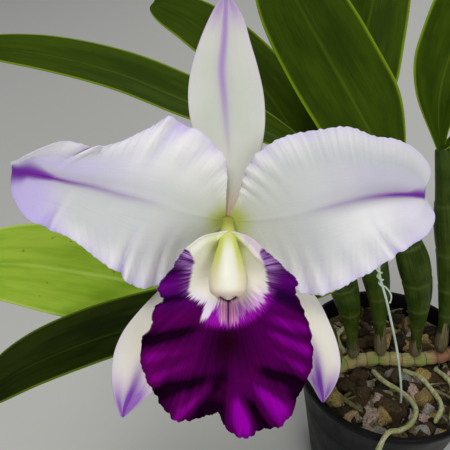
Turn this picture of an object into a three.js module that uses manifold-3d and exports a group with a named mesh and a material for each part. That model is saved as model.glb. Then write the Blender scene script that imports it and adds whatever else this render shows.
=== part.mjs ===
// A cattleya orchid in bloom, growing in a black nursery pot of bark.
// Millimetres, +Z up. The origin is the middle of the pot's foot, on the surface it stands on.
// The flower looks out over the rim towards -Y, and its face is tipped up towards the sky.

import * as THREE from 'three';
import { mergeVertices } from 'three/addons/utils/BufferGeometryUtils.js';
import Module from 'manifold-3d';

const wasm = await Module();
wasm.setup();

const DEG = Math.PI / 180;
const GAP = 0.3; // clearance that neighbouring pieces keep

// Pot
const POT_HEIGHT = 105;
const POT_RIM_RADIUS = 60;
const POT_FOOT_RADIUS = 42;
const POT_WALL = 1.4;
const POT_FLOOR = 2;
const POT_SIDES = 36;
const RIM_BEAD = 6; // height of the rolled rim
const DRAIN_HOLES = 8;
const DRAIN_CIRCLE = 31; // radius of the ring of drainage holes
const DRAIN_RADIUS = 4;

// Bark
const BARK_TOP = 89; // level of the medium under the loose chips
const CHIP_COUNT = 36;
const CHIP_SEED = 7;

// Rhizome and pseudobulbs
const RHIZOME_AXIS = 95; // height of the rhizome's axis above the foot
const RHIZOME_RADIUS = 4.6;
const BULB_RADIUS = 9.2; // at the thickest part of a pseudobulb
const SOCKET_RADIUS = 6.6; // of the hollow in the bark round each pseudobulb's foot

// Leaves
const LEAF_THICKNESS = 1.6;

// Roots and wire
const ROOT_RADIUS = 1.6;
const WIRE_RADIUS = 0.7;

// Bloom: its centre, the tilt of its face and the thickness of its parts
const BLOOM_CENTRE = new THREE.Vector3(-104.7, -113, 311);
const BLOOM_TILT = 40 * DEG;
const PETAL_THICKNESS = 0.8;
const SEPAL_THICKNESS = 0.9;
const LIP_THICKNESS = 0.8;
const BLOOM_OUT = new THREE.Vector3(0, -Math.cos(BLOOM_TILT), Math.sin(BLOOM_TILT));

const COLOURS = {
  pot: 0x151516,
  bark: 0x8a6a45,
  rhizome: 0x8c8447,
  bulb: 0x4e6b24,
  oldBulb: 0x7d7a3c,
  leaf: 0x3f5f16,
  paleLeaf: 0x83a63a,
  root: 0xb9b795,
  stalk: 0x8fa860,
  sheath: 0x9aa65c,
  petal: 0xeceaf0,
  sepal: 0xe6e7de,
  lip: 0x5a0a63,
  column: 0xf2f0cf,
  wire: 0xc9d6cf,
};

const group = new THREE.Group();
const bloom = new THREE.Group();
bloom.position.copy(BLOOM_CENTRE);
bloom.rotation.x = Math.PI / 2 - BLOOM_TILT;
group.add(bloom);

function point(x, y, z) {
  return new THREE.Vector3(x, y, z);
}

function smoothCurve(rows, closed = false) {
  return new THREE.CatmullRomCurve3(rows.map((row) => point(...row)), closed, 'centripetal');
}

// Numbers between 0 and 1 from a seed, the same on every run.
function randomFrom(seed) {
  let state = seed;
  return () => {
    state = (state + 0x6d2b79f5) | 0;
    let mixed = Math.imul(state ^ (state >>> 15), 1 | state);
    mixed = (mixed + Math.imul(mixed ^ (mixed >>> 7), 61 | mixed)) ^ mixed;
    return ((mixed ^ (mixed >>> 14)) >>> 0) / 4294967296;
  };
}

// One vertex for each place, no flat triangles, and faces that point out of the solid.
function tidyGeometry(source) {
  const copy = source.index ? source.clone() : source;
  copy.deleteAttribute('normal');
  copy.deleteAttribute('uv');
  const merged = mergeVertices(copy, 1e-4);
  const place = merged.getAttribute('position');
  const corners = merged.getIndex().array;
  const kept = [];
  let volume = 0;
  for (let i = 0; i < corners.length; i += 3) {
    const [a, b, c] = [corners[i], corners[i + 1], corners[i + 2]];
    if (a !== b && b !== c && c !== a) {
      kept.push(a, b, c);
      const va = new THREE.Vector3().fromBufferAttribute(place, a);
      const vb = new THREE.Vector3().fromBufferAttribute(place, b);
      const vc = new THREE.Vector3().fromBufferAttribute(place, c);
      volume += va.dot(vb.cross(vc));
    }
  }
  if (volume < 0) {
    kept.reverse();
  }
  const result = new THREE.BufferGeometry();
  result.setAttribute('position', place);
  result.setIndex(kept);
  result.computeVertexNormals();
  return result;
}

function toSolid(geometry) {
  const clean = tidyGeometry(geometry);
  return new wasm.Manifold(new wasm.Mesh({
    numProp: 3,
    vertProperties: new Float32Array(clean.getAttribute('position').array),
    triVerts: new Uint32Array(clean.getIndex().array),
  }));
}

// Back to a geometry, keeping only the largest body so that no loose scrap is left.
function fromSolid(solid) {
  const bodies = solid.decompose().sort((a, b) => b.volume() - a.volume());
  const mesh = bodies[0].getMesh();
  const geometry = new THREE.BufferGeometry();
  geometry.setAttribute('position', new THREE.BufferAttribute(mesh.vertProperties, 3));
  geometry.setIndex(new THREE.BufferAttribute(mesh.triVerts, 1));
  return geometry;
}

function addPart(parent, name, geometry, colour, roughness = 0.6) {
  const material = new THREE.MeshStandardMaterial({ color: colour, roughness, metalness: 0 });
  const mesh = new THREE.Mesh(tidyGeometry(geometry), material);
  mesh.name = name;
  parent.add(mesh);
}

// The direction square to a surface, from its slopes both ways.
function faceDirection(surface, u, v) {
  const step = 0.004;
  const alongU = surface(Math.min(u + step, 1), v).sub(surface(Math.max(u - step, 0), v));
  const alongV = surface(u, v + step).sub(surface(u, v - step));
  return alongU.cross(alongV).normalize();
}

// A thin closed blade: surface(u, v) with u from 0 to 1 along it and v from -1 to 1 across it.
// Both faces are split into triangles alike, so they stay apart where the blade waves.
function bladeGeometry(surface, along, across, thickness) {
  const places = [[], []];
  for (let i = 0; i <= along; i += 1) {
    for (let j = 0; j <= across; j += 1) {
      const u = i / along;
      const v = (2 * j) / across - 1;
      const half = faceDirection(surface, u, v).multiplyScalar(thickness / 2);
      places[0].push(...surface(u, v).add(half).toArray());
      places[1].push(...surface(u, v).sub(half).toArray());
    }
  }
  const columns = across + 1;
  const backStart = (along + 1) * columns;
  const at = (i, j) => i * columns + j;
  const corners = [];
  for (let i = 0; i < along; i += 1) {
    for (let j = 0; j < across; j += 1) {
      const [a, b, c, d] = [at(i, j), at(i + 1, j), at(i + 1, j + 1), at(i, j + 1)];
      corners.push(a, b, c, a, c, d);
      corners.push(backStart + a, backStart + c, backStart + b);
      corners.push(backStart + a, backStart + d, backStart + c);
    }
  }
  const border = [];
  for (let i = 0; i < along; i += 1) border.push(at(i, 0));
  for (let j = 0; j < across; j += 1) border.push(at(along, j));
  for (let i = along; i > 0; i -= 1) border.push(at(i, across));
  for (let j = across; j > 0; j -= 1) border.push(at(0, j));
  border.forEach((a, k) => {
    const b = border[(k + 1) % border.length];
    corners.push(b, a, backStart + a, b, backStart + a, backStart + b);
  });
  return indexedGeometry([...places[0], ...places[1]], corners);
}

// A thin closed disc: surface(s, t) with s from 0 at its middle to 1 at its edge, and t once round.
function discGeometry(surface, rings, around, thickness) {
  const places = [[], []];
  const direction = (s, t) => {
    const step = 0.003;
    const out = surface(Math.min(s + step, 1), t).sub(surface(Math.max(s - step, 0.01), t));
    const round = surface(Math.max(s, 0.05), t + step).sub(surface(Math.max(s, 0.05), t - step));
    return out.cross(round).normalize();
  };
  const middleDirection = new THREE.Vector3();
  for (let k = 0; k < around; k += 1) middleDirection.add(direction(0.05, k / around));
  middleDirection.normalize();
  const push = (place, normal) => {
    const half = normal.clone().multiplyScalar(thickness / 2);
    places[0].push(...place.clone().add(half).toArray());
    places[1].push(...place.clone().sub(half).toArray());
  };
  push(surface(0, 0), middleDirection);
  for (let i = 1; i <= rings.length; i += 1) {
    for (let k = 0; k < around; k += 1) {
      push(surface(rings[i - 1], k / around), direction(rings[i - 1], k / around));
    }
  }
  const backStart = 1 + rings.length * around;
  const at = (i, k) => 1 + (i - 1) * around + (k % around);
  const corners = [];
  const face = (a, b, c) => {
    corners.push(a, b, c, backStart + a, backStart + c, backStart + b);
  };
  for (let k = 0; k < around; k += 1) {
    face(0, at(1, k), at(1, k + 1));
    for (let i = 1; i < rings.length; i += 1) {
      face(at(i, k), at(i + 1, k), at(i + 1, k + 1));
      face(at(i, k), at(i + 1, k + 1), at(i, k + 1));
    }
    const [a, b] = [at(rings.length, k), at(rings.length, k + 1)];
    corners.push(b, a, backStart + a, b, backStart + a, backStart + b);
  }
  return indexedGeometry([...places[0], ...places[1]], corners);
}

function indexedGeometry(places, corners) {
  const geometry = new THREE.BufferGeometry();
  geometry.setAttribute('position', new THREE.Float32BufferAttribute(places, 3));
  geometry.setIndex(corners);
  return geometry;
}

// A turned solid bent along a curve. Each profile row is [fraction of the length, radius];
// flatness squeezes the section in the direction square to the side vector.
function spindleGeometry(curve, profile, sides, flatness = 1, side = point(0, 1, 0)) {
  const length = curve.getLength();
  const outline = profile.map(([fraction, radius]) => new THREE.Vector2(radius, fraction * length));
  const turned = new THREE.LatheGeometry(
    [new THREE.Vector2(0, 0), ...outline, new THREE.Vector2(0, length)],
    sides,
  );
  const place = turned.getAttribute('position');
  for (let i = 0; i < place.count; i += 1) {
    const t = Math.min(Math.max(place.getY(i) / length, 0), 1);
    const tangent = curve.getTangentAt(t);
    const above = side.clone().cross(tangent).normalize();
    const across = tangent.clone().cross(above);
    const moved = curve.getPointAt(t);
    moved.addScaledVector(across, place.getX(i));
    moved.addScaledVector(above, place.getZ(i) * flatness);
    place.setXYZ(i, moved.x, moved.y, moved.z);
  }
  return turned;
}

// A round rod of even thickness along a curve.
function rodGeometry(curve, radius, sides, steps) {
  const section = new THREE.Shape();
  for (let k = 0; k < sides; k += 1) {
    const angle = (2 * Math.PI * k) / sides;
    const [x, y] = [radius * Math.cos(angle), radius * Math.sin(angle)];
    if (k === 0) section.moveTo(x, y);
    else section.lineTo(x, y);
  }
  section.closePath();
  return new THREE.ExtrudeGeometry(section, { steps, extrudePath: curve, bevelEnabled: false });
}

// ---- Pot: one thin moulded shell with a rolled rim and a ring of drainage holes ----

const POT_TAPER = (POT_RIM_RADIUS - 3 - POT_FOOT_RADIUS) / (POT_HEIGHT - RIM_BEAD);

function wallRadius(z) {
  return POT_FOOT_RADIUS - POT_WALL + z * POT_TAPER;
}

function makePot() {
  const shoulder = POT_HEIGHT - RIM_BEAD;
  const shoulderRadius = wallRadius(shoulder) + POT_WALL;
  const outline = [
    [0, 0],
    [POT_FOOT_RADIUS - 1, 0],
    [POT_FOOT_RADIUS, 1.5],
    [shoulderRadius, shoulder],
    [POT_RIM_RADIUS - 0.8, shoulder + 0.2],
    [POT_RIM_RADIUS, shoulder + 2],
    [POT_RIM_RADIUS, POT_HEIGHT - 1.6],
    [POT_RIM_RADIUS - 1.2, POT_HEIGHT],
    [POT_RIM_RADIUS - 3, POT_HEIGHT],
    [wallRadius(shoulder), shoulder - 1],
    [wallRadius(POT_FLOOR), POT_FLOOR],
    [0, POT_FLOOR],
  ];
  const shell = new THREE.LatheGeometry(outline.map(([r, z]) => new THREE.Vector2(r, z)), POT_SIDES);
  shell.rotateX(Math.PI / 2);
  let pot = toSolid(shell);
  for (let k = 0; k < DRAIN_HOLES; k += 1) {
    const angle = (2 * Math.PI * (k + 0.5)) / DRAIN_HOLES;
    const hole = new THREE.CylinderGeometry(DRAIN_RADIUS, DRAIN_RADIUS, 6 * POT_FLOOR, 10);
    hole.rotateX(Math.PI / 2);
    hole.translate(DRAIN_CIRCLE * Math.cos(angle), DRAIN_CIRCLE * Math.sin(angle), 0);
    pot = pot.subtract(toSolid(hole));
  }
  return fromSolid(pot);
}

addPart(group, 'pot', makePot(), COLOURS.pot, 0.45);

// ---- Rhizome: it creeps across the bark and swells at each joint ----

const RHIZOME_PATH = [
  [46, 11, RHIZOME_AXIS - 1],
  [38, 9, RHIZOME_AXIS],
  [18, 5.5, RHIZOME_AXIS],
  [-4, 6.5, RHIZOME_AXIS],
  [-22, 4.5, RHIZOME_AXIS],
  [-36, -2.5, RHIZOME_AXIS + 1],
];

function rhizomeProfile(extra) {
  const rows = [[0, 0.7 * RHIZOME_RADIUS + extra]];
  const joints = 9;
  for (let k = 0; k < joints; k += 1) {
    rows.push([(k + 0.25) / joints, 0.88 * RHIZOME_RADIUS + extra]);
    rows.push([(k + 0.75) / joints, RHIZOME_RADIUS + extra]);
  }
  rows.push([1, 0.7 * RHIZOME_RADIUS + extra]);
  return rows;
}

addPart(group, 'rhizome', spindleGeometry(smoothCurve(RHIZOME_PATH), rhizomeProfile(0), 9), COLOURS.rhizome);

// ---- Pseudobulbs: slender clubs that stand on the rhizome and lean to the light ----

const BULB_FOOT = RHIZOME_AXIS + RHIZOME_RADIUS + GAP + 0.2;
const BULBS = [
  {
    name: 'pseudobulb_1', foot: [-34, -0.9, BULB_FOOT + 0.7], bow: [-50, -24.5, 152], top: [-77, -56.5, 214],
  },
  { name: 'pseudobulb_2', foot: [-22, 4.5, BULB_FOOT], bow: [-32, 10.5, 150], top: [-54, 23.5, 203] },
  { name: 'pseudobulb_3', foot: [-4, 6.5, BULB_FOOT], bow: [-16, 15.5, 165], top: [-42, 33.5, 229] },
  { name: 'pseudobulb_4', foot: [18, 5.5, BULB_FOOT], bow: [9, 9.5, 160], top: [-12, 17.5, 217] },
  { name: 'pseudobulb_5', foot: [35, 8.2, BULB_FOOT], bow: [30, 22, 170], top: [16, 43.5, 236] },
];

const BULB_PROFILE = [
  [0, 0.143], [0.012, 0.33], [0.04, 0.43], [0.14, 0.38], [0.3, 0.62], [0.48, 0.9],
  [0.66, 1], [0.82, 0.69], [0.94, 0.52], [1, 0.445],
];

function bulbGeometry(bulb, size = 1) {
  const curve = smoothCurve([bulb.foot, bulb.bow, bulb.top]);
  const profile = BULB_PROFILE.map(([fraction, share]) => [fraction, share * BULB_RADIUS * size]);
  return spindleGeometry(curve, profile, 10);
}

BULBS.forEach((bulb) => addPart(group, bulb.name, bulbGeometry(bulb), COLOURS.bulb));

// The oldest growth has lost its leaves and stands at the far end of the rhizome.
const OLD_BULB = {
  name: 'pseudobulb_6', foot: [45.4, 10.8, BULB_FOOT - 1.3], bow: [51, 26, 130], top: [61, 50, 168],
};
addPart(group, OLD_BULB.name, bulbGeometry(OLD_BULB, 0.85), COLOURS.oldBulb);

// ---- Leaves: thick straps with a keel, each folded along its midrib ----

const LEAF_CLASP = 0.14; // width of a leaf's foot and tip as a share of its full width
const LEAF_BROADEST = 0.42; // how far along a leaf is broadest
const KEEL_ROUNDING = 0.02; // how softly the two halves meet at the midrib

// The half width of a leaf: narrow where it clasps the pseudobulb, then broad, with a blunt tip.
function leafHalfWidth(u, width) {
  const towardsTip = Math.max(0, (u - LEAF_BROADEST) / (1 - LEAF_BROADEST));
  const body = u < LEAF_BROADEST
    ? Math.sin((Math.PI * u) / (2 * LEAF_BROADEST)) ** 1.6
    : Math.sqrt(Math.max(0, 1 - towardsTip ** 2.6));
  return 0.5 * width * (LEAF_CLASP + (1 - LEAF_CLASP) * body);
}

// face is the direction that the leaf's upper side looks in; fold is the rise of each half.
function leafGeometry({ spine, face, width, fold }) {
  const curve = smoothCurve(spine);
  const look = point(...face).normalize();
  const surface = (u, v) => {
    const tangent = curve.getTangentAt(u);
    const across = tangent.clone().cross(look).normalize();
    const above = across.clone().cross(tangent).normalize();
    const reach = leafHalfWidth(u, width);
    const opening = fold * DEG * (1.6 - 0.9 * u);
    const bend = Math.sqrt(v * v + KEEL_ROUNDING) - Math.sqrt(KEEL_ROUNDING);
    return curve.getPointAt(u)
      .addScaledVector(across, v * reach * Math.cos(opening))
      .addScaledVector(above, bend * reach * Math.sin(opening));
  };
  return bladeGeometry(surface, 12, 6, LEAF_THICKNESS);
}

const LEAVES = [
  {
    name: 'leaf_1_arching', colour: COLOURS.leaf, width: 38, face: [0.15, 0.2, 0.97], fold: 16,
    spine: [[-80.7, -56.3, 214.7], [-96, -59.5, 218], [-117, -63.5, 216], [-139, -68.5, 214],
      [-164, -79.5, 215], [-188, -92.5, 214], [-208, -104.5, 208]],
  },
  {
    name: 'leaf_1_right', colour: COLOURS.leaf, width: 30, face: [-0.3, -0.6, 0.74], fold: 20,
    spine: [[-73, -56.9, 216], [-66, -54.5, 230], [-52, -49.5, 247], [-38, -45.9, 259], [-23, -44.5, 269]],
  },
  {
    name: 'leaf_2_left', colour: COLOURS.paleLeaf, width: 50, face: [0, -0.62, 0.78], fold: 14,
    spine: [[-57.3, 20.5, 203.4], [-82, 0.5, 199], [-110, -21.5, 198], [-143, -34.5, 206],
      [-168, -41.5, 219], [-197, -48.5, 232], [-224, -55.5, 239]],
  },
  {
    name: 'leaf_2_back', colour: COLOURS.leaf, width: 42, face: [0.5, -0.6, 0.6], fold: 18,
    spine: [[-53, 26.5, 203.4], [-58, 43.5, 224], [-76, 69.5, 246], [-100, 91.5, 266],
      [-126, 105.5, 282], [-148, 114.5, 290]],
  },
  {
    name: 'leaf_3_left', colour: COLOURS.leaf, width: 38, face: [0.2, -0.1, 1], fold: 12,
    spine: [[-44.8, 32.5, 230], [-62, 29.5, 241], [-92, 29.5, 257], [-123, 29.5, 270],
      [-157, 31.5, 285], [-190, 29.5, 296], [-228, 26.5, 303]],
  },
  {
    name: 'leaf_3_back', colour: COLOURS.leaf, width: 44, face: [0.1, -0.8, 0.6], fold: 18,
    spine: [[-41, 36.7, 230], [-35, 53.5, 254], [-28, 79.5, 286], [-20, 103.5, 310], [-12, 127.5, 322]],
  },
  {
    name: 'leaf_4_broad', colour: COLOURS.leaf, width: 48, face: [0.1, -0.85, 0.45], fold: 10,
    spine: [[-12.2, 17.6, 218], [-20, 24.5, 237], [-34, 33.5, 260], [-54, 42.5, 290],
      [-73, 48.5, 320], [-84, 48.5, 348]],
  },
  {
    name: 'leaf_5_right', colour: COLOURS.leaf, width: 44, face: [-0.7, 0, 0.7], fold: 18,
    spine: [[19.6, 42.3, 237.6], [34, 39.5, 254], [56, 43.5, 284], [84, 41.5, 304], [114, 35.5, 312]],
  },
  {
    name: 'leaf_5_back', colour: COLOURS.leaf, width: 42, face: [-0.2, -0.8, 0.6], fold: 20,
    spine: [[15.4, 45.8, 235.9], [15, 63.5, 257], [26, 87.5, 284], [40, 109.5, 304], [56, 127.5, 312]],
  },
];

LEAVES.forEach((leaf) => addPart(group, leaf.name, leafGeometry(leaf), leaf.colour, 0.45));

// ---- Roots: pale cords on the bark, one of them over the rim ----

const ROOTS = [
  {
    name: 'root_1',
    path: [[-10, -1.3, 93], [-6, -12.5, 97.4], [6, -22, 96], [10, -34, 97.6], [5, -44, 98.6], [-4, -50.8, 101.5],
      [-10.8, -54.4, 106.4], [-15.1, -58.5, 107.8], [-18, -61.9, 101], [-18.4, -60.1, 86]],
  },
  {
    name: 'root_2',
    path: [[10, -1.7, 93], [18, -10, 97.4], [24, -20, 96.4], [26, -32, 97.6], [20, -42, 95]],
  },
  {
    name: 'root_3',
    path: [[31, 0, 93], [36, -14, 97.6], [35, -28, 96.4], [30, -40, 95]],
  },
  { name: 'root_4', path: [[-26, 12, 93], [-30, 21.5, 97.4], [-24, 32, 96], [-12, 39, 96.4]] },
];

ROOTS.forEach((root) => {
  const curve = smoothCurve(root.path);
  addPart(group, root.name, rodGeometry(curve, ROOT_RADIUS, 7, 3 * root.path.length), COLOURS.root, 0.7);
});

// ---- Wire: it stands in the bark and hooks round the fourth pseudobulb ----

const HOOK_CENTRE = [-6.4, 15, 202];
const HOOK_RADIUS = 8.1;

function hookPoint(angle, lift) {
  const turn = angle * DEG;
  const [x, y, z] = HOOK_CENTRE;
  return [x + HOOK_RADIUS * Math.cos(turn), y + HOOK_RADIUS * Math.sin(turn), z + lift];
}

const wireCurve = smoothCurve([
  [3, -28.5, 78], [2, -27.5, 100], [-5, -21.5, 135], [-16, -15.5, 172], [-22, -7.5, 192],
  ...[205, 255, 305, 355, 405, 450].map((angle) => hookPoint(angle, 0.018 * (angle - 330))),
]);

addPart(group, 'tie_wire', rodGeometry(wireCurve, WIRE_RADIUS, 6, 34), COLOURS.wire, 0.5);

// The path carried on at both ends, so that a channel cut for a piece is longer than the piece.
function extendedPath(path, reach) {
  const beyond = (end, before) => {
    const step = point(...end).sub(point(...before)).setLength(reach);
    return point(...end).add(step).toArray();
  };
  return [beyond(path[0], path[1]), ...path, beyond(path.at(-1), path.at(-2))];
}

// ---- Bark: a filled mass with loose chips on top, and plain holes for what stands in it ----

function chipGeometry(random) {
  const chip = new THREE.BoxGeometry(11 + 9 * random(), 7 + 6 * random(), 4.5 + 4 * random());
  const box = tidyGeometry(chip);
  const place = box.getAttribute('position');
  for (let i = 0; i < place.count; i += 1) {
    const shrink = 0.72 + 0.28 * random();
    place.setXYZ(i, place.getX(i) * shrink, place.getY(i) * shrink, place.getZ(i) * shrink);
  }
  box.rotateX((random() - 0.5) * 1.1);
  box.rotateY((random() - 0.5) * 1.1);
  box.rotateZ(2 * Math.PI * random());
  const reach = (wallRadius(BARK_TOP) - 8) * Math.sqrt(random());
  const bearing = 2 * Math.PI * random();
  box.translate(reach * Math.cos(bearing), reach * Math.sin(bearing), BARK_TOP + 0.5 + 3 * random());
  return box;
}

function makeBark() {
  const clear = GAP + 0.1;
  const inside = (z) => wallRadius(z) - clear;
  const base = [[0, POT_FLOOR + GAP], [inside(POT_FLOOR + 1), POT_FLOOR + GAP]];
  const shoulder = POT_HEIGHT - RIM_BEAD - 1;
  const fillOutline = [...base, [inside(BARK_TOP), BARK_TOP], [0, BARK_TOP + 1]];
  const roomOutline = [
    ...base, [inside(shoulder), shoulder], [inside(shoulder), POT_HEIGHT], [0, POT_HEIGHT],
  ];
  const turn = (outline) => {
    const shape = new THREE.LatheGeometry(outline.map(([r, z]) => new THREE.Vector2(r, z)), POT_SIDES);
    shape.rotateX(Math.PI / 2);
    return toSolid(shape);
  };
  let bark = turn(fillOutline);
  const random = randomFrom(CHIP_SEED);
  for (let k = 0; k < CHIP_COUNT; k += 1) {
    bark = bark.add(toSolid(chipGeometry(random)));
  }
  bark = bark.intersect(turn(roomOutline));
  const channel = smoothCurve(extendedPath(RHIZOME_PATH, 1));
  bark = bark.subtract(toSolid(spindleGeometry(channel, rhizomeProfile(GAP + 0.1), 9)));
  [...BULBS, OLD_BULB].forEach((bulb) => {
    const socket = new THREE.CylinderGeometry(SOCKET_RADIUS, SOCKET_RADIUS, 20, 8);
    socket.rotateX(Math.PI / 2);
    socket.translate(bulb.foot[0], bulb.foot[1], BULB_FOOT + 8);
    bark = bark.subtract(toSolid(socket));
  });
  ROOTS.forEach((root) => {
    const route = smoothCurve(extendedPath(root.path, 1));
    bark = bark.subtract(toSolid(rodGeometry(route, ROOT_RADIUS + GAP + 0.1, 8, 3 * root.path.length)));
  });
  const wireHole = smoothCurve([[3.1, -28.6, 76], [2, -27.5, 100], [-0.4, -25.7, 112]]);
  bark = bark.subtract(toSolid(rodGeometry(wireHole, WIRE_RADIUS + 2 * GAP, 8, 6)));
  return fromSolid(bark);
}

addPart(group, 'bark', makeBark(), COLOURS.bark, 0.85);

// ---- Flower stalk: peduncle, pedicel and ovary, from the first pseudobulb to the bloom's back ----

function behindBloom(distance, drop = 0) {
  return BLOOM_CENTRE.clone().addScaledVector(BLOOM_OUT, -distance).add(point(0, 0, -drop)).toArray();
}

const OVARY_TOP = 6.6; // how far behind the bloom's centre the ovary ends
const stalkCurve = smoothCurve([
  [-77.2, -56.9, 215.6], [-81, -60.5, 232], [-89, -67.5, 252], [-97, -75.5, 271],
  behindBloom(40, 3), behindBloom(22, 0.5), behindBloom(OVARY_TOP),
]);
const STALK_PROFILE = [
  [0, 1.8], [0.1, 1.7], [0.3, 1.7], [0.5, 1.7], [0.62, 1.9], [0.74, 2.4], [0.88, 3], [0.96, 3.1], [1, 3.1],
];

const stalk = spindleGeometry(stalkCurve, STALK_PROFILE, 10, 1, point(1, 0, 0));
addPart(group, 'flower_stalk', stalk, COLOURS.stalk);

// ---- Flower sheath: a folded green sheath that wraps the foot of the stalk ----

function sheathSurface(u, v) {
  const spine = stalkCurve.getPointAt(0.07 + 0.38 * u);
  const tangent = stalkCurve.getTangentAt(0.07 + 0.38 * u);
  const back = point(0, 1, 0).cross(tangent).normalize();
  const side = tangent.clone().cross(back);
  const reach = 3 + 3.2 * Math.sin(Math.PI * Math.min(0.12 + 0.6 * u, 1));
  const wrap = v * 135 * DEG * (1 - 0.8 * u * u);
  return spine
    .addScaledVector(side, reach * Math.cos(wrap))
    .addScaledVector(back, 0.7 * reach * Math.sin(wrap));
}

addPart(group, 'flower_sheath', bladeGeometry(sheathSurface, 9, 8, 0.7), COLOURS.sheath);

// ---- Bloom ----
// Its own frame: x to its right as seen from in front, y up its face, z out of it.
// Petals and sepals are drawn as rows from root to tip, each row an edge, the midrib and the other edge.

const COLUMN_FOOT_RADIUS = 1.9;

// Three rails through the rows, joined across by a parabola, with waves that grow to the margins.
function railSurface(rows, waves) {
  const rails = [0, 1, 2].map((k) => smoothCurve(rows.map((row) => row[k])));
  return (u, v) => {
    const along = Math.min(Math.max(u, 0), 1);
    const [first, middle, last] = rails.map((rail) => rail.getPoint(along));
    const slope = last.clone().sub(first).multiplyScalar(0.5 * v);
    const sag = first.clone().add(last).multiplyScalar(0.5).sub(middle).multiplyScalar(v * v);
    const place = middle.clone().add(slope).add(sag);
    const margin = Math.abs(v) ** 3 * Math.sin(Math.PI * Math.min(1, 1.15 * along));
    place.z += waves.height * margin * Math.sin(2 * Math.PI * (waves.count * along + (v > 0 ? 0.3 : 0)));
    return place;
  };
}

const PETAL_LEFT = [
  [[-2.4, 1.9, -3.2], [-2.7, 0.2, -3.4], [-2.4, -1.5, -3.2]],
  [[-2.5, 7.4, -2.5], [-5.4, 1.2, -3], [-6.3, -4.6, -3.5]],
  [[-2.2, 13.8, -1.5], [-9.4, 2.1, -2.5], [-11.5, -10.4, -4]],
  [[-3.6, 20.3, -1], [-14.4, 3.3, -2], [-16.4, -16.1, -4]],
  [[-8.7, 26.9, -1], [-20.3, 5.1, -1], [-21.4, -19.3, -3]],
  [[-17.6, 31, -1], [-26.7, 6.8, 0], [-27.9, -19.5, -2]],
  [[-24, 27.6, 0], [-32.7, 8.3, 0], [-32.8, -15.2, -1]],
  [[-32.2, 23.6, 1], [-39.8, 10.4, 0], [-39.7, -10.7, -1]],
  [[-39.7, 22, 2], [-47.2, 11.9, -1], [-46.3, -5.4, -1]],
  [[-47.6, 23.8, 2], [-54, 13.5, -2], [-53.1, -2.4, -2]],
  [[-55.5, 21.6, 1], [-60.2, 14.8, -3.5], [-60.6, 2.7, -4]],
  [[-62.4, 18.6, -2], [-64.3, 15.8, -5], [-65.5, 10.4, -6]],
  [[-65.4, 17.7, -5], [-66, 16.5, -6], [-66.2, 15, -6.5]],
];

const PETAL_RIGHT = [
  [[2.4, 1.9, -3.2], [2.7, 0.2, -3.4], [2.4, -1.5, -3.2]],
  [[3, 7.2, -2.5], [5.6, 0.5, -3], [6, -6, -3.5]],
  [[4.2, 12, -1.5], [10.2, 0.8, -2.5], [11.2, -12.1, -4]],
  [[6.3, 17.6, -1], [15.9, 1.5, -2], [16.7, -17.6, -4]],
  [[11.3, 22.7, -1], [21.8, 2.4, -1], [22.6, -21.7, -3]],
  [[19.4, 26.3, -1], [28, 3.9, -0.5], [29.5, -21.5, -1]],
  [[27.9, 27.6, 0], [34, 5.4, -1], [35.9, -18.4, 0]],
  [[36.2, 28.2, 0], [40.1, 6.9, -1.5], [42.2, -14.8, 1]],
  [[43.6, 25.5, 0], [46, 7.8, -2.5], [47.8, -11.2, 1]],
  [[50.7, 24.5, -1], [51.5, 8.2, -4], [53.7, -7.4, 0]],
  [[57, 21.3, -2], [55.9, 8.2, -5.5], [59.4, -3.9, -1]],
  [[61.5, 15.8, -4], [59.1, 8, -7], [62.4, 1.8, -3]],
  [[61.1, 11.1, -6.5], [60.6, 7.7, -8], [61.3, 6.5, -7]],
];

const DORSAL_SEPAL = [
  [[-1.5, 2.7, -5.4], [0, 2.9, -5.4], [1.5, 2.7, -5.4]],
  [[-2.8, 8.3, -6.5], [0.6, 8.3, -6.5], [4.3, 8.3, -6.5]],
  [[-5.9, 15.4, -7.5], [0.5, 15.5, -8], [7.7, 15.4, -7.5]],
  [[-8.9, 22.8, -7.5], [0.2, 23, -9], [10.2, 22.2, -7.5]],
  [[-11.4, 30.8, -7], [-0.5, 30.5, -9], [11.4, 30.2, -7]],
  [[-12.2, 39, -6.5], [-1.2, 38.5, -8.5], [11, 38.7, -6.5]],
  [[-11.2, 47.2, -6], [-1.9, 47.5, -7.5], [9.2, 47.2, -6]],
  [[-8.8, 55, -5.5], [-1.2, 55.3, -6.5], [6.9, 55, -5.5]],
  [[-5.5, 62.5, -5], [-0.8, 62.3, -5.5], [4.6, 62.5, -5]],
  [[-3, 66.9, -4.5], [-0.6, 67.3, -4.8], [1.8, 66.9, -4.5]],
  [[-1.1, 69.4, -4], [-0.6, 69.7, -4], [-0.2, 69.4, -4]],
];

const LATERAL_LEFT = [
  [[-2.9, -0.9, -5.4], [-2.1, -1.9, -5.4], [-0.9, -2.8, -5.4]],
  [[-7.4, -6.5, -7], [-5.8, -8.6, -7], [-3.7, -10.5, -7]],
  [[-13.6, -13, -8.5], [-10.9, -16.1, -8.5], [-7.4, -18.9, -8.5]],
  [[-21.2, -20.9, -9.5], [-16.2, -24.4, -10], [-10.9, -28.1, -9.5]],
  [[-27.5, -27.5, -10], [-21.4, -31.7, -11], [-14.4, -35.9, -10]],
  [[-32.8, -34.4, -10], [-25.5, -39.4, -11.5], [-17.5, -43.1, -10]],
  [[-35.5, -41.1, -9.5], [-27.7, -46, -11.5], [-20.3, -48.6, -9.5]],
  [[-36.1, -47.9, -9], [-29.5, -51.5, -11], [-23.6, -52.9, -9]],
  [[-35.3, -53.2, -8], [-31.2, -55.5, -9.5], [-26.9, -55.7, -8]],
  [[-33.9, -57.3, -7], [-32.2, -58.5, -8], [-30.2, -58.5, -7]],
  [[-32.9, -59.6, -6.5], [-32.2, -59.9, -6.5], [-31.6, -59.6, -6.5]],
];

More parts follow.
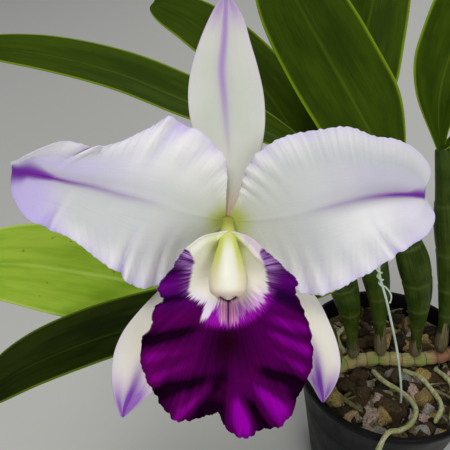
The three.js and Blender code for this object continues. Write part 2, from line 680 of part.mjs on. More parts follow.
const LATERAL_RIGHT = [
  [[2.9, -0.9, -5.4], [2.1, -1.9, -5.4], [0.9, -2.8, -5.4]],
  [[8.6, -6.8, -7], [6.8, -8.9, -7], [4.6, -10.8, -7]],
  [[14.9, -12.4, -8.5], [12.1, -15.5, -8.5], [9, -18.3, -8.5]],
  [[21.5, -18.1, -9.5], [17.5, -21.9, -10], [12.8, -24.9, -9.5]],
  [[27.5, -23.4, -10], [22.3, -28, -11], [16.6, -31.2, -10]],
  [[31.6, -31.2, -10], [25.5, -34.3, -11.5], [19.4, -37.2, -10]],
  [[34.3, -38.7, -9.5], [27.4, -40.9, -11.5], [21.5, -42.4, -9.5]],
  [[35, -44.2, -9], [28.3, -46.5, -11], [23.3, -46.6, -9]],
  [[34, -48.3, -8], [28.7, -50.2, -9.5], [25.4, -49.2, -8]],
  [[31.7, -52.3, -7], [29.1, -52.9, -8], [27.1, -52, -7]],
  [[29.8, -55, -6.5], [29.2, -55.3, -6.5], [28.6, -55, -6.5]],
];

function addBlade(name, rows, waves, along, across, thickness, colour) {
  addPart(bloom, name, bladeGeometry(railSurface(rows, waves), along, across, thickness), colour, 0.5);
}

const stillWaves = { count: 0, height: 0 };
addBlade('dorsal_sepal', DORSAL_SEPAL, stillWaves, 16, 6, SEPAL_THICKNESS, COLOURS.sepal);
addBlade('lateral_sepal_left', LATERAL_LEFT, stillWaves, 14, 6, SEPAL_THICKNESS, COLOURS.sepal);
addBlade('lateral_sepal_right', LATERAL_RIGHT, stillWaves, 14, 6, SEPAL_THICKNESS, COLOURS.sepal);
const petalWaves = { count: 6, height: 0.9 };
addBlade('petal_left', PETAL_LEFT, petalWaves, 25, 12, PETAL_THICKNESS, COLOURS.petal);
addBlade('petal_right', PETAL_RIGHT, petalWaves, 25, 12, PETAL_THICKNESS, COLOURS.petal);

// ---- Lip: one funnel-shaped petal round the column, with side lobes and a ruffled front lobe ----

const LIP_THROAT = point(0, -14, -1.6);
const LIP_EDGE = smoothCurve([
  [-1.2, -1.9, -0.8], [-4.6, -3.3, 4], [-7.8, -4.4, 8.5], [-10.2, -6.1, 11.5], [-12.1, -7.7, 13.5],
  [-14, -10.2, 14], [-15.6, -13, 14.5], [-17.9, -15.5, 14], [-19.2, -18.4, 14], [-18.4, -21.3, 13],
  [-20.4, -24.3, 13.5], [-21.5, -29, 13.5], [-23.9, -33.3, 12.5], [-24.1, -40.1, 12], [-21.7, -45.9, 12],
  [-19, -51.7, 11], [-14.7, -55.8, 9.5], [-10.2, -56.7, 8], [-6, -56.3, 6.5], [-2.9, -55.8, 5.5],
  [-0.6, -60.4, 5], [4.3, -62.7, 5.5], [8.6, -61, 7], [13.9, -58.4, 8.5], [17.7, -53.7, 10],
  [21.1, -47, 11], [23.4, -40.2, 11.5], [23.2, -32.2, 12.5], [21, -24.5, 13.5], [19.1, -19.6, 13],
  [18.8, -16.2, 14.5], [16, -13.6, 14.5], [13.2, -10.3, 14], [9.9, -7.6, 13], [7.2, -5, 10],
  [4.6, -3.6, 4], [1.2, -1.9, -0.8],
], true);
const LIP_FOLDS = 17;
const LIP_FOLD_HEIGHT = 1.3;
const LIP_SWELL = 4; // how far the front lobe swells out of a plain funnel

function lipEdge(t) {
  return LIP_EDGE.getPoint(((t % 1) + 1) % 1);
}

// The funnel is smooth inside: the notches and folds of the edge fade out towards the throat.
function lipSurface(s, t) {
  const edge = lipEdge(t);
  const smooth = point(0, 0, 0);
  [-0.05, -0.025, 0, 0.025, 0.05].forEach((shift) => smooth.addScaledVector(lipEdge(t + shift), 0.2));
  const root = Math.min(1, (-edge.y - 1.9) / 8);
  const rim = smooth.lerp(edge, Math.max(s ** 3, 1 - root));
  const place = LIP_THROAT.clone().lerp(rim, s);
  const below = Math.min(Math.max((-rim.y - 20) / 20, 0), 1);
  const rise = (rim.z - LIP_THROAT.z) * s ** 1.35;
  const fold = LIP_FOLD_HEIGHT * s ** 3 * Math.cos(2 * Math.PI * LIP_FOLDS * t) * root;
  place.z = LIP_THROAT.z + rise + LIP_SWELL * below * Math.sin(Math.PI * s) + fold;
  return place;
}

const LIP_RINGS = [0.16, 0.32, 0.47, 0.6, 0.72, 0.82, 0.91, 1];
addPart(bloom, 'lip', discGeometry(lipSurface, LIP_RINGS, 68, LIP_THICKNESS), COLOURS.lip, 0.5);

// ---- Column: it stands on the ovary, passes between petals and sepals, and nods over the throat ----

const columnCurve = smoothCurve([
  [0, 0.5, GAP - OVARY_TOP], [0, 0.5, -3], [0, 0, 0], [0, -2.2, 2.8], [0, -6, 5.2], [0, -12, 7.8],
  [0, -21.4, 10.6],
]);
const COLUMN_PROFILE = [
  [0, COLUMN_FOOT_RADIUS], [0.18, COLUMN_FOOT_RADIUS], [0.3, 2], [0.4, 2.5], [0.52, 3.3],
  [0.66, 4.6], [0.8, 5.9], [0.9, 5.9], [0.97, 4.9], [1, 4.2],
];
const ANTHER_RADIUS = 2.5;

// The anther cap is a small dome that sits in a pocket at the column's tip.
function antherGeometry(extra) {
  const radius = ANTHER_RADIUS + extra;
  const dome = new THREE.SphereGeometry(radius, 12, 8);
  dome.scale(1.05, 0.75, 0.7);
  dome.translate(0, -21.6, 10.7);
  return dome;
}

const columnBody = spindleGeometry(columnCurve, COLUMN_PROFILE, 14, 0.72, point(1, 0, 0));
const column = fromSolid(toSolid(columnBody).subtract(toSolid(antherGeometry(GAP + 0.1))));
addPart(bloom, 'column', column, COLOURS.column, 0.4);
addPart(bloom, 'anther_cap', antherGeometry(0), COLOURS.column, 0.4);

export default group;
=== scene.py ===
"""A cattleya orchid in bloom in a black nursery pot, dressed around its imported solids.

Shapes are worked out in millimetres, in the pot's frame, and put into the meshes in metres.
"""

import math

import bpy
import numpy as np
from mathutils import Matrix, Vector


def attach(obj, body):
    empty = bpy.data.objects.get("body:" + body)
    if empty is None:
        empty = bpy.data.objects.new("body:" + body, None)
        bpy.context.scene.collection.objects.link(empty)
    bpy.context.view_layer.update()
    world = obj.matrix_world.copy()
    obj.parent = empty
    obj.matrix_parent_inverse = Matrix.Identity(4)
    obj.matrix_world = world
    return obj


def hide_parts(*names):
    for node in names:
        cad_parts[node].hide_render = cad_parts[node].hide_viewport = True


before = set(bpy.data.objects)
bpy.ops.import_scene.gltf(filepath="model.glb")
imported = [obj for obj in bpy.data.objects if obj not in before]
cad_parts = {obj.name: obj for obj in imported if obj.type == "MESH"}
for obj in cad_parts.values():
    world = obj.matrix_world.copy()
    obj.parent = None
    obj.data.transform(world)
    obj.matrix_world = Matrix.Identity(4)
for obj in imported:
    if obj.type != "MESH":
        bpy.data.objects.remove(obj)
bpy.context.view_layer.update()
MM = 0.001

# ---- Studio ----
# A plain pale floor, one broad soft light from above, three weaker ones that fill the shadows,
# and a camera that looks down on the bloom at forty degrees.

FLOOR_REACH = 30
FLOOR_DROP = 0.0004
floor_mesh = bpy.data.meshes.new("studio_floor")
floor_corners = [
    (FLOOR_REACH * x, FLOOR_REACH * y, -FLOOR_DROP) for x, y in ((-1, -1), (1, -1), (1, 1), (-1, 1))]
floor_mesh.from_pydata(floor_corners, [], [(0, 1, 2, 3)])
floor = bpy.data.objects.new("studio_floor", floor_mesh)
bpy.context.scene.collection.objects.link(floor)
floor_paint = bpy.data.materials.new("studio_floor")
floor_paint.use_nodes = True
floor_shader = floor_paint.node_tree.nodes["Principled BSDF"].inputs
floor_shader["Base Color"].default_value = (0.62, 0.62, 0.59, 1)
floor_shader["Roughness"].default_value = 0.9
floor_mesh.materials.append(floor_paint)


def soft_light(name, place, aim, size, watts, tint):
    """A square lamp at a place, turned so that its face looks at the aim."""
    lamp = bpy.data.lights.new(name, "AREA")
    lamp.size = size
    lamp.energy = watts
    lamp.color = tint
    holder = bpy.data.objects.new(name, lamp)
    holder.location = place
    holder.rotation_euler = (Vector(aim) - Vector(place)).to_track_quat("-Z", "Y").to_euler()
    bpy.context.scene.collection.objects.link(holder)


BLOOM_AT = (-0.105, -0.113, 0.311)
soft_light("sky_light", (-0.3, -0.3, 1.35), BLOOM_AT, 0.5, 6.2, (1, 0.99, 0.96))
soft_light("front_fill", (0.45, -1.1, 0.75), BLOOM_AT, 0.8, 4.4, (1, 0.99, 0.97))
soft_light("low_fill", (-0.25, -1.2, 0.15), BLOOM_AT, 0.7, 2.1, (1, 0.99, 0.97))
soft_light("back_fill", (0.5, 0.9, 0.9), (0, 0, 0.2), 0.9, 4, (1, 0.98, 0.94))

world = bpy.data.worlds.new("studio_air")
world.use_nodes = True
air = world.node_tree.nodes["Background"].inputs
air["Color"].default_value = (0.86, 0.9, 0.95, 1)
air["Strength"].default_value = 0.22
bpy.context.scene.world = world
bpy.context.scene.view_settings.view_transform = "Standard"

LOOK_DOWN = 40
camera = bpy.data.objects.new("camera", bpy.data.cameras.new("camera"))
camera.data.sensor_width = 36
camera.data.lens = 51.2
camera.data.clip_start = 0.01
camera.location = (-0.1056, -0.2591, 0.4324)
camera.rotation_euler = (math.radians(90 - LOOK_DOWN), 0, 0)
bpy.context.scene.collection.objects.link(camera)
bpy.context.scene.camera = camera

# ---- Pot ----
# The nursery pot: one thin shell of black plastic, moulded with a taper, a rolled rim
# and a ring of drainage holes in its floor.

POT_HEIGHT = 105
POT_RIM_RADIUS = 60
POT_FOOT_RADIUS = 42
POT_WALL = 1.4
POT_FLOOR = 2
POT_SEAM = 70
RIM_BEAD = 6
RIM_OVERHANG = 3
DRAIN_HOLES = 8
DRAIN_CIRCLE = 31
DRAIN_RADIUS = 4
shoulder = POT_HEIGHT - RIM_BEAD
POT_TAPER = (POT_RIM_RADIUS - RIM_OVERHANG - POT_FOOT_RADIUS) / shoulder
inner_foot = POT_FOOT_RADIUS - POT_WALL
inner_shoulder = inner_foot + shoulder * POT_TAPER
seam_radius = inner_foot + POT_SEAM * POT_TAPER + POT_WALL


class Finish:
    """A surface finish in the making: each method adds nodes and hands back their output. A word given
    for a value stands for the number that each vertex carries under that name."""

    def __init__(self, name, shader, soft=None):
        """Soft is how much light passes under the skin and how far, in mm, in red, green and blue."""
        self.material = bpy.data.materials.new(name)
        self.material.use_nodes = True
        self.tree = self.material.node_tree
        self.shader = self.tree.nodes["Principled BSDF"]
        if soft:
            reaches = [MM * reach for reach in soft[1:]]
            shader = {**shader, "Subsurface Weight": soft[0], "Subsurface Radius": reaches}
        for socket, value in shader.items():
            self.shader.inputs[socket].default_value = value

    def node(self, kind, output, inputs, **settings):
        made = self.tree.nodes.new("ShaderNode" + kind)
        for key, value in settings.items():
            setattr(made, key, value)
        for socket, value in inputs.items():
            self.feed(made.inputs[socket], value)
        return made.outputs[output]

    def feed(self, socket, value):
        if isinstance(value, str):
            value = self.node("Attribute", "Fac", {}, attribute_name=value)
        if isinstance(value, bpy.types.NodeSocket):
            self.tree.links.new(value, socket)
        else:
            socket.default_value = (*value, 1) if socket.type == "RGBA" else value

    def noise(self, kind, stretch, scale, detail, rough):
        raw = self.node("TexCoord", kind, {})
        place = self.node("VectorMath", "Vector", {0: raw, 1: stretch}, operation="MULTIPLY")
        inputs = {"Vector": place, "Scale": scale, "Detail": detail, "Roughness": rough}
        return self.node("TexNoise", "Fac", inputs)

    def clouds(self, scale, detail=3, rough=0.55):
        """Noise that is alike in all directions, by the place in the plant."""
        return self.noise("Object", (1, 1, 1), scale, detail, rough)

    def streaks(self, along, across, scale, detail=3, rough=0.55):
        """Noise on the piece's own map, pressed together by one number along it and one across it."""
        return self.noise("UV", (along, across, 1), scale, detail, rough)

    def lengthwise(self):
        """How far along the piece and how far across it a point lies, from the piece's own map."""
        split = self.node("SeparateXYZ", "X", {"Vector": self.node("TexCoord", "UV", {})}).node
        return split.outputs["X"], split.outputs["Y"]

    def plus(self, first, second):
        return self.node("Math", "Value", {0: first, 1: second}, operation="ADD")

    def times(self, first, second):
        return self.node("Math", "Value", {0: first, 1: second}, operation="MULTIPLY")

    def band(self, value, low, high, start=0, end=1):
        """Eases from start to end as the value goes from low to high."""
        inputs = {"Value": value, "From Min": low, "From Max": high, "To Min": start, "To Max": end}
        return self.node("MapRange", "Result", inputs, interpolation_type="SMOOTHSTEP")

    def blend(self, share, first, second):
        return self.node("Mix", 2, {0: share, 6: first, 7: second}, data_type="RGBA")

    def coats(self, colour, *coats):
        """Lays coats over a colour in turn. Each gives its own colour and a value, which is how much of the
        coat shows; where limits follow the value, its band between them is."""
        for coat, value, *limits in coats:
            colour = self.blend(self.band(value, *limits) if limits else value, colour, coat)
        return colour

    def backed(self, colour, share, under):
        """The colour on the front of a blade, and on its back the colour blended with the one under it."""
        return self.blend("front", self.blend(share, colour, under), colour)

    def finish(self, colour, height, depth, roughness=None):
        """Joins a colour, a relief of a depth in mm and, where it is given, a roughness to the shader."""
        relief = self.node("Bump", "Normal", {"Strength": 1, "Distance": depth * MM, "Height": height})
        self.feed(self.shader.inputs["Base Color"], colour)
        self.feed(self.shader.inputs["Normal"], relief)
        if roughness is not None:
            self.feed(self.shader.inputs["Roughness"], roughness)
        return self.material


def unit(vectors):
    """Vectors divided by their own lengths."""
    return vectors / np.linalg.norm(vectors, axis=-1, keepdims=True)


def rounded(corners, radius, steps=4):
    """A profile with each inner corner cut off at a radius and replaced by a curve through its two cuts."""
    corners = np.array(corners, float)
    rows = [corners[:1]]
    share = np.linspace(0, 1, steps)[:, None]
    for before, corner, after in zip(corners, corners[1:], corners[2:]):
        ways = before - corner, after - corner
        start, end = (corner + unit(way) * min(radius, 0.45 * np.linalg.norm(way)) for way in ways)
        rows.append((1 - share) ** 2 * start + 2 * share * (1 - share) * corner + share**2 * end)
    return np.vstack([*rows, corners[-1:]])


def with_poles(grids, depth):
    """Each grid, of the given number of axes, as one list, then the means of its first and last row."""
    grids = np.asarray(grids, float).reshape(-1, *np.shape(grids)[-depth:])
    ends = [grids[:, :1].mean(axis=2), grids[:, -1:].mean(axis=2)]
    return np.concatenate([grids.reshape(len(grids), -1, *grids.shape[3:]), *ends], axis=1)


def closed_skin(name, grids, around=None):
    """Closed surfaces from one grid of points in mm, or a stack of them, whose columns run once round.

    Both ends are shut by a fan to the middle of their row. The volume under the faces, a third of the sum
    of point times face area, has a sign, and where it is negative the faces are turned the other way.
    The piece's map holds the share along it and, for each column, the value given in around.
    """
    rows, columns = np.shape(grids)[-3:-1]
    points = with_poles(grids, 3) * MM
    around = np.linspace(0, 1, columns + 1) if around is None else around
    i, j = np.meshgrid(np.arange(rows - 1), np.arange(columns), indexing="ij")
    after = (j + 1) % columns
    row, next_row = i * columns, (i + 1) * columns
    quads = np.stack([row + j, next_row + j, next_row + after, row + after], -1)
    along = np.stack([i, i + 1, i + 1, i], -1) / (rows - 1)
    quad_map = np.stack([along, around[np.stack([j, j, j + 1, j + 1], -1)]], -1)
    quads, quad_map = quads.reshape(-1, 4), quad_map.reshape(-1, 4, 2)
    ring, following, last_row = j[0], after[0], (rows - 1) * columns
    pole = np.full(columns, rows * columns)
    fans = np.vstack([
        np.stack([pole, ring, following], -1),
        np.stack([pole + 1, last_row + following, last_row + ring], -1)])
    middle, here, there = 0.5 * (around[:-1] + around[1:]), around[:-1], around[1:]
    fan_across = np.vstack([np.stack([middle, here, there], -1), np.stack([middle, there, here], -1)])
    fan_map = np.stack([np.repeat([[0] * 3, [1] * 3], columns, axis=0), fan_across], -1)
    halves = np.vstack([quads[:, [0, 1, 2]], quads[:, [0, 2, 3]], fans])
    a, b, c = (points[:, halves[:, k]].reshape(-1, 3) for k in range(3))
    if np.einsum("ij,ij->", a, np.cross(b, c)) < 0:
        quads, fans, quad_map, fan_map = quads[:, ::-1], fans[:, ::-1], quad_map[:, ::-1], fan_map[:, ::-1]
    starts = np.arange(len(points))[:, None, None] * points.shape[1]
    faces = (quads + starts).reshape(-1, 4).tolist() + (fans + starts).reshape(-1, 3).tolist()
    mesh = bpy.data.meshes.new(name)
    mesh.from_pydata(points.reshape(-1, 3).tolist(), [], faces)
    mesh.polygons.foreach_set("use_smooth", np.ones(len(mesh.polygons), bool))
    lay = np.concatenate([np.tile(quad_map.ravel(), len(points)), np.tile(fan_map.ravel(), len(points))])
    mesh.uv_layers.new(name="lay").data.foreach_set("uv", lay.astype(np.float32))
    mesh.update()
    piece = bpy.data.objects.new(name, mesh)
    bpy.context.scene.collection.objects.link(piece)
    return piece


def seat(piece, material, slot, *nodes):
    """Gives a piece its finish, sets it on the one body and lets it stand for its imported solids."""
    piece.data.materials.append(material)
    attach(piece, "root")
    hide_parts(*nodes)


def turned(profile, around):
    """Points of a turned shape: each profile row, radius and height, carried once round the upright axis."""
    angle = np.linspace(0, 2 * np.pi, around, endpoint=False)
    radius, height = profile[:, 0:1], profile[:, 1:2]
    return np.stack([radius * np.cos(angle), radius * np.sin(angle), height + 0 * angle], -1)


pot_profile = rounded([
    (0.5, 0), (24, 0), (24.6, 0.5), (38, 0.5), (38.6, 0), (POT_FOOT_RADIUS - 0.6, 0), (POT_FOOT_RADIUS, 1.5),
    (seam_radius, POT_SEAM), (seam_radius + 0.01, POT_SEAM + 1),
    (inner_shoulder + POT_WALL, shoulder), (POT_RIM_RADIUS - 0.6, shoulder + 0.3),
    (POT_RIM_RADIUS, shoulder + 1.4), (POT_RIM_RADIUS, POT_HEIGHT - 1.6),
    (POT_RIM_RADIUS - 1.3, POT_HEIGHT), (POT_RIM_RADIUS - RIM_OVERHANG, POT_HEIGHT - 0.4),
    (inner_shoulder, shoulder - 1), (inner_foot + POT_FLOOR * POT_TAPER, POT_FLOOR), (0.5, POT_FLOOR),
], 0.9)
pot = closed_skin("nursery_pot", turned(pot_profile, 120))
for k in range(DRAIN_HOLES):
    bearing = 2 * math.pi * (k + 0.5) / DRAIN_HOLES
    drill_rows = np.array([(DRAIN_RADIUS, -3), (DRAIN_RADIUS, POT_FLOOR + 3)])
    drill = closed_skin("drill", turned(drill_rows, 24) + np.array(
        [DRAIN_CIRCLE * math.cos(bearing), DRAIN_CIRCLE * math.sin(bearing), 0]))
    cut = pot.modifiers.new("drain", "BOOLEAN")
    cut.operation = "DIFFERENCE"
    cut.object = drill
    drilled = bpy.data.meshes.new_from_object(pot.evaluated_get(bpy.context.evaluated_depsgraph_get()))
    pot.modifiers.clear()
    pot.data = drilled
    bpy.data.objects.remove(drill)

plastic = Finish("black_pot_plastic", {"IOR": 1.28, "Specular IOR Level": 0.25})
dust = plastic.clouds(35, 6, 0.7)
dusty = plastic.coats((0.005, 0.005, 0.006), ((0.06, 0.055, 0.045), dust, 0.5, 0.8, 0, 0.22))
seat(pot, plastic.finish(
    dusty, plastic.clouds(900, 2), 0.05, plastic.band(dust, 0.35, 0.75, 0.33, 0.62)), "pot", "pot")

# ---- Bark ----
# The filling of the pot: a dark bed of fine bark with loose chips, a few pale stones and dead sticks
# on top. The bed's near-black colour is partly painted shade, for the gaps between the chips. Nothing
# fixes it; the chips lie under and around the roots and the rhizome.

BARK_TOP = 88
CHIP_COUNT = 560
CHIP_ROWS, CHIP_COLUMNS = 9, 14
CHIP_KINDS = [0.72, 0.12, 0.16]  # the shares of bark chips, stones and dead sticks
# Half the length, width and height of a chip, a stone and a stick, each as the least and the most in mm.
CHIP_SIZES = [
    ((4.5, 10.5), (3, 6.5), (9, 17)), ((3, 6), (3, 5), (0.9, 1.5)), ((1.6, 3.4), (2, 3.6), (0.8, 1.3))]
CHIP_SPREAD = 53
CHIP_HEIGHTS = (87, 93.5)
STICK_LIFT = 2.5
UNDER_ROOTS, UNDER_RHIZOME = 92.5, 90  # how high a chip may reach beside them
RHIZOME_PATH = [(46, 11, 94), (38, 9, 95), (18, 5.5, 95), (-4, 6.5, 95), (-22, 4.5, 95), (-36, -2.5, 96)]
ROOT_PATHS = {
    "root_1": [(-10, -1.3, 93), (-6, -12.5, 97.4), (6, -22, 96), (10, -34, 97.6), (5, -44, 98.6),
               (-4, -50.8, 101.5), (-10.8, -54.4, 106.4), (-15.1, -58.5, 107.8), (-18, -61.9, 101),
               (-18.4, -60.1, 86)],
    "root_2": [(10, -1.7, 93), (18, -10, 97.4), (24, -20, 96.4), (26, -32, 97.6), (20, -42, 95)],
    "root_3": [(31, 0, 93), (36, -14, 97.6), (35, -28, 96.4), (30, -40, 95)],
    "root_4": [(-26, 12, 93), (-30, 21.5, 97.4), (-24, 32, 96), (-12, 39, 96.4)],
}


def smooth_path(points, closed=False):
    """A function of t, 0 to 1, that runs through the points.

    Each stretch is a cubic. Its two end slopes are weighted by the square roots of the distances
    between the four nearest points, which keeps the path from looping where points lie close.
    """
    p = np.array(points, float)
    if closed:
        p = np.vstack([p[-1:], p, p[:2]])
    else:
        p = np.vstack([2 * p[:1] - p[1:2], p, 2 * p[-1:] - p[-2:-1]])
    p0, p1, p2, p3 = p[:-3], p[1:-2], p[2:-1], p[3:]
    d0, d1, d2 = (np.sqrt(np.linalg.norm(b - a, axis=1))[:, None] for a, b in ((p0, p1), (p1, p2), (p2, p3)))
    leave = d1 * ((p1 - p0) / d0 - (p2 - p0) / (d0 + d1) + (p2 - p1) / d1)
    arrive = d1 * ((p2 - p1) / d1 - (p3 - p1) / (d1 + d2) + (p3 - p2) / d2)

    def at(t):
        t = np.asarray(t, float)
        x = (t % 1 if closed else np.clip(t, 0, 1)) * len(p1)
        k = np.minimum(x.astype(int), len(p1) - 1)
        w = (x - k)[..., None]
        a, b, m, n = p1[k], p2[k], leave[k], arrive[k]
        return a + m * w + (3 * (b - a) - 2 * m - n) * w**2 + (2 * (a - b) + m + n) * w**3

    return at


def even_path(points):
    """A path through the points as a function of the share of its length."""
    at = smooth_path(points)
    t = np.linspace(0, 1, 801)
    run = np.concatenate([[0], np.cumsum(np.linalg.norm(np.diff(at(t), axis=0), axis=1))])
    return lambda share: at(np.interp(share, run / run[-1], t))


def away_from(path, places):
    """Distance in plan from each place to the nearest of sixty points on a path."""
    marks = even_path(path)(np.linspace(0, 1, 60))[:, :2]
    return np.linalg.norm(places[:, None, :2] - marks[None], axis=2).min(axis=1)


def turns(angles):
    """One turning matrix for each row of three angles, about x, then y, then z."""
    (cx, cy, cz), (sx, sy, sz) = np.cos(angles).T, np.sin(angles).T
    return np.stack([
        cz * cy, cz * sy * sx - sz * cx, cz * sy * cx + sz * sx,
        sz * cy, sz * sy * sx + cz * cx, sz * sy * cx - cz * sx,
        -sy, cy * sx, cy * cx], -1).reshape(-1, 3, 3)


def give(piece, **grown):
    """Stores numbers by name for each vertex of a closed skin; a pole takes the mean of its row."""
    for name, values in grown.items():
        layer = piece.data.attributes.new(name, "FLOAT", "POINT")
        layer.data.foreach_set("value", with_poles(values, 2).ravel().astype(np.float32))


def raised(value, exponent):
    """The size of a value raised to the exponent, with the value's sign."""
    return np.sign(value) * np.abs(value) ** exponent


# Each chip is a rounded block: the sines and cosines of two angles, raised to a power below one, give
# its flat sides; its corners are then pushed about, and it is turned and dropped on the bed.
random = np.random.default_rng(11)
kind = random.choice(3, CHIP_COUNT, p=CHIP_KINDS)
half_size = np.stack([
    np.choose(kind, [random.uniform(*limits, CHIP_COUNT) for limits in row]) for row in CHIP_SIZES], -1)
power = np.choose(kind, [0.38, 0.75, 0.7])[:, None, None]
tilt = np.linspace(-0.5 * np.pi, 0.5 * np.pi, CHIP_ROWS)[None, :, None]
turn = np.linspace(0, 2 * np.pi, CHIP_COLUMNS, endpoint=False)[None, None, :]
block = np.stack([
    raised(np.cos(tilt), power) * raised(np.cos(turn), power),
    raised(np.cos(tilt), power) * raised(np.sin(turn), power),
    raised(np.sin(tilt), power) + 0 * turn,
], -1)
for reach in (2.1, 4.3):
    pull = random.normal(0, reach, (CHIP_COUNT, 3, 3))
    block = block * (1 + 0.16 / math.sqrt(reach) * np.sin(np.einsum("nij,nrcj->nrci", pull, block)))
block = block * half_size[:, None, None, :]
lean = np.stack([random.normal(0, 0.35, CHIP_COUNT), random.normal(0, 0.35, CHIP_COUNT),
                 random.uniform(0, 2 * np.pi, CHIP_COUNT)], -1)
block = np.einsum("nij,nrcj->nrci", turns(lean), block)
bearing = random.uniform(0, 2 * np.pi, CHIP_COUNT)
spread = CHIP_SPREAD * np.sqrt(random.uniform(0, 1, CHIP_COUNT))
height = random.uniform(*CHIP_HEIGHTS, CHIP_COUNT) + np.where(kind == 2, STICK_LIFT, 0)
seats = np.stack([spread * np.cos(bearing), spread * np.sin(bearing), height], -1)
tall = np.abs(block[..., 2]).max(axis=(1, 2))
near_root = np.min([away_from(path, seats) for path in ROOT_PATHS.values()], axis=0)
near_rhizome = away_from(RHIZOME_PATH, seats)
for near, reach, ceiling in ((near_root, 0, UNDER_ROOTS), (near_rhizome, 4, UNDER_RHIZOME)):
    covered = near < half_size[:, 0] + reach
    seats[covered, 2] = np.minimum(seats[:, 2], ceiling - tall)[covered]
chips = block + seats[:, None, None, :]
wall = inner_foot + chips[..., 2] * POT_TAPER - 0.8
chips[..., :2] *= np.minimum(1, wall / np.linalg.norm(chips[..., :2], axis=-1))[..., None]

bed_radius = inner_foot + BARK_TOP * POT_TAPER - 0.6
bed_rows = np.vstack([
    [(0.4, POT_FLOOR + 0.3), (inner_foot - 1, POT_FLOOR + 0.3), (bed_radius, BARK_TOP - 1)],
    np.stack([np.linspace(bed_radius - 1, 0.4, 30), np.full(30, BARK_TOP)], -1)])
bed = turned(bed_rows, 96)
crumb = np.sin(0.9 * bed[..., 0] + 2 * np.sin(0.5 * bed[..., 1])) * np.sin(0.8 * bed[..., 1] + 1.3)
bed[3:, :, 2] += 1.6 * crumb[3:]

# Painted shade, in part: the bed is near black, as the shaded gaps between the chips are.
soil = Finish("fine_bark_and_painted_shade", {"Roughness": 0.95})
fleck = soil.clouds(260, 6, 0.7)
bed_colour_and_painted_shade = soil.coats((0.004, 0.003, 0.002), ((0.045, 0.028, 0.015), fleck, 0.45, 0.7))
seat(closed_skin("bark_bed", bed), soil.finish(bed_colour_and_painted_shade, fleck, 2.5), "bark", "bark")

chip_wood = Finish("bark_chips", {"Specular IOR Level": 0.3})
fibre, speck = chip_wood.streaks(3, 16, 2.2, 6, 0.7), chip_wood.clouds(420, 5, 0.65)
stone = chip_wood.blend("choice", (0.2, 0.2, 0.17), (0.78, 0.74, 0.64))
twig = chip_wood.blend("choice", (0.3, 0.25, 0.09), (0.72, 0.66, 0.36))
worn = chip_wood.coats(
    (0.014, 0.009, 0.004),
    ((0.12, 0.075, 0.03), "choice", 0.05, 0.6),
    ((0.72, 0.5, 0.18), "choice", 0.58, 0.84),
    ((0.9, 0.66, 0.54), "choice", 0.87, 0.9),
    (stone, "sort", 0.4, 0.6),
    (twig, "sort", 1.4, 1.6),
    ((0.018, 0.012, 0.006), fibre, 0.32, 0.68, 0.88, 0),
    ((0.62, 0.55, 0.34), speck, 0.58, 0.8, 0, 0.45))
chip_heap = closed_skin("bark_chips", chips)
give(chip_heap, choice=np.broadcast_to(random.uniform(0, 1, (CHIP_COUNT, 1, 1)), chips.shape[:3]),
     sort=np.broadcast_to(kind[:, None, None], chips.shape[:3]))
seat(chip_heap, chip_wood.finish(worn, chip_wood.plus(fibre, speck), 0.9, 0.85), "bark", "bark")

# ---- Rhizome ----
# The creeping stem that joins the growths: woody, in short segments with a ring scar at each joint,
# partly wrapped in the dry remains of its scales. It lies on the bark and the roots hold it there.

RHIZOME_RADIUS = 4.6
RHIZOME_SEGMENTS = 11


def rings(rows, columns):
    """The share of the way along, as a column, and the bearing round it, as a row."""
    return np.linspace(0, 1, rows)[:, None], np.linspace(0, 2 * np.pi, columns, endpoint=False)[None]


def carried(points, radii, side=(0, 1, 0), squeeze=1):
    """Rings of points along a path: at even shares of its length, a ring of the given radii, one for each
    bearing, in the plane square to the path. The section is squeezed square to the side direction."""
    share, bearing = rings(*radii.shape)
    path = even_path(points)(share[:, 0])
    ahead = unit(np.gradient(path, axis=0))
    above = unit(np.cross(side, ahead))
    sideways = np.cross(ahead, above)[:, None] * (radii * np.cos(bearing))[..., None]
    upwards = above[:, None] * (radii * np.sin(bearing) * squeeze)[..., None]
    return path[:, None] + sideways + upwards


def bell(distance, width):
    """1 at no distance, falling off as e to the power of minus the square of distance over width."""
    return np.exp(-(distance / width) ** 2)


def eased(low, high, value):
    """0 at low and 1 at high, and beyond them alike, with three squares less two cubes in between. The low
    end may be the greater number, and the step then falls."""
    share = np.clip((value - low) / (high - low), 0, 1)
    return share * share * (3 - 2 * share)


def domed(shares, reach):
    """Shrinks towards both ends of a stem as the side of a circle does, over the given reach."""
    near_end = np.clip(np.minimum(shares, 1 - shares) / reach, 0, 1)
    return np.sqrt(np.clip(1 - (1 - near_end) ** 2, 0.02, 1))


share, bearing = rings(150, 40)
segment = (share * RHIZOME_SEGMENTS + 0.25) % 1
swelling = 0.8 + 0.2 * np.sin(np.pi * segment) ** 0.6
ridges = 0.035 * np.sin(5 * bearing + 19 * share) + 0.03 * np.sin(2 * bearing + 47 * share)
radii = RHIZOME_RADIUS * (swelling + 0.05 * bell(segment - 0.06, 0.035) + ridges) * domed(share, 0.06)
rhizome = closed_skin("creeping_rhizome", carried(RHIZOME_PATH, radii))
give(rhizome, scar=bell(segment - 0.06, 0.05) + 0 * bearing)
woody = Finish("woody_rhizome", {"Roughness": 0.7})
grain, patch = woody.streaks(3, 30, 3, 5, 0.65), woody.clouds(60, 3)
old_end = woody.blend(grain, (0.16, 0.05, 0.025), (0.5, 0.22, 0.12))
tan = woody.coats(
    (0.22, 0.16, 0.05),
    ((0.6, 0.5, 0.22), grain, 0.3, 0.7),
    ((0.24, 0.32, 0.06), patch, 0.46, 0.58, 0, 0.8),
    ((0.035, 0.022, 0.01), patch, 0.3, 0.42, 0.85, 0),
    (old_end, woody.lengthwise()[0], 0.16, 0.24, 0.85, 0),
    ((0.04, 0.025, 0.012), woody.times("scar", 0.8)))
seat(rhizome, woody.finish(tan, grain, 0.5), "rhizome", "rhizome")

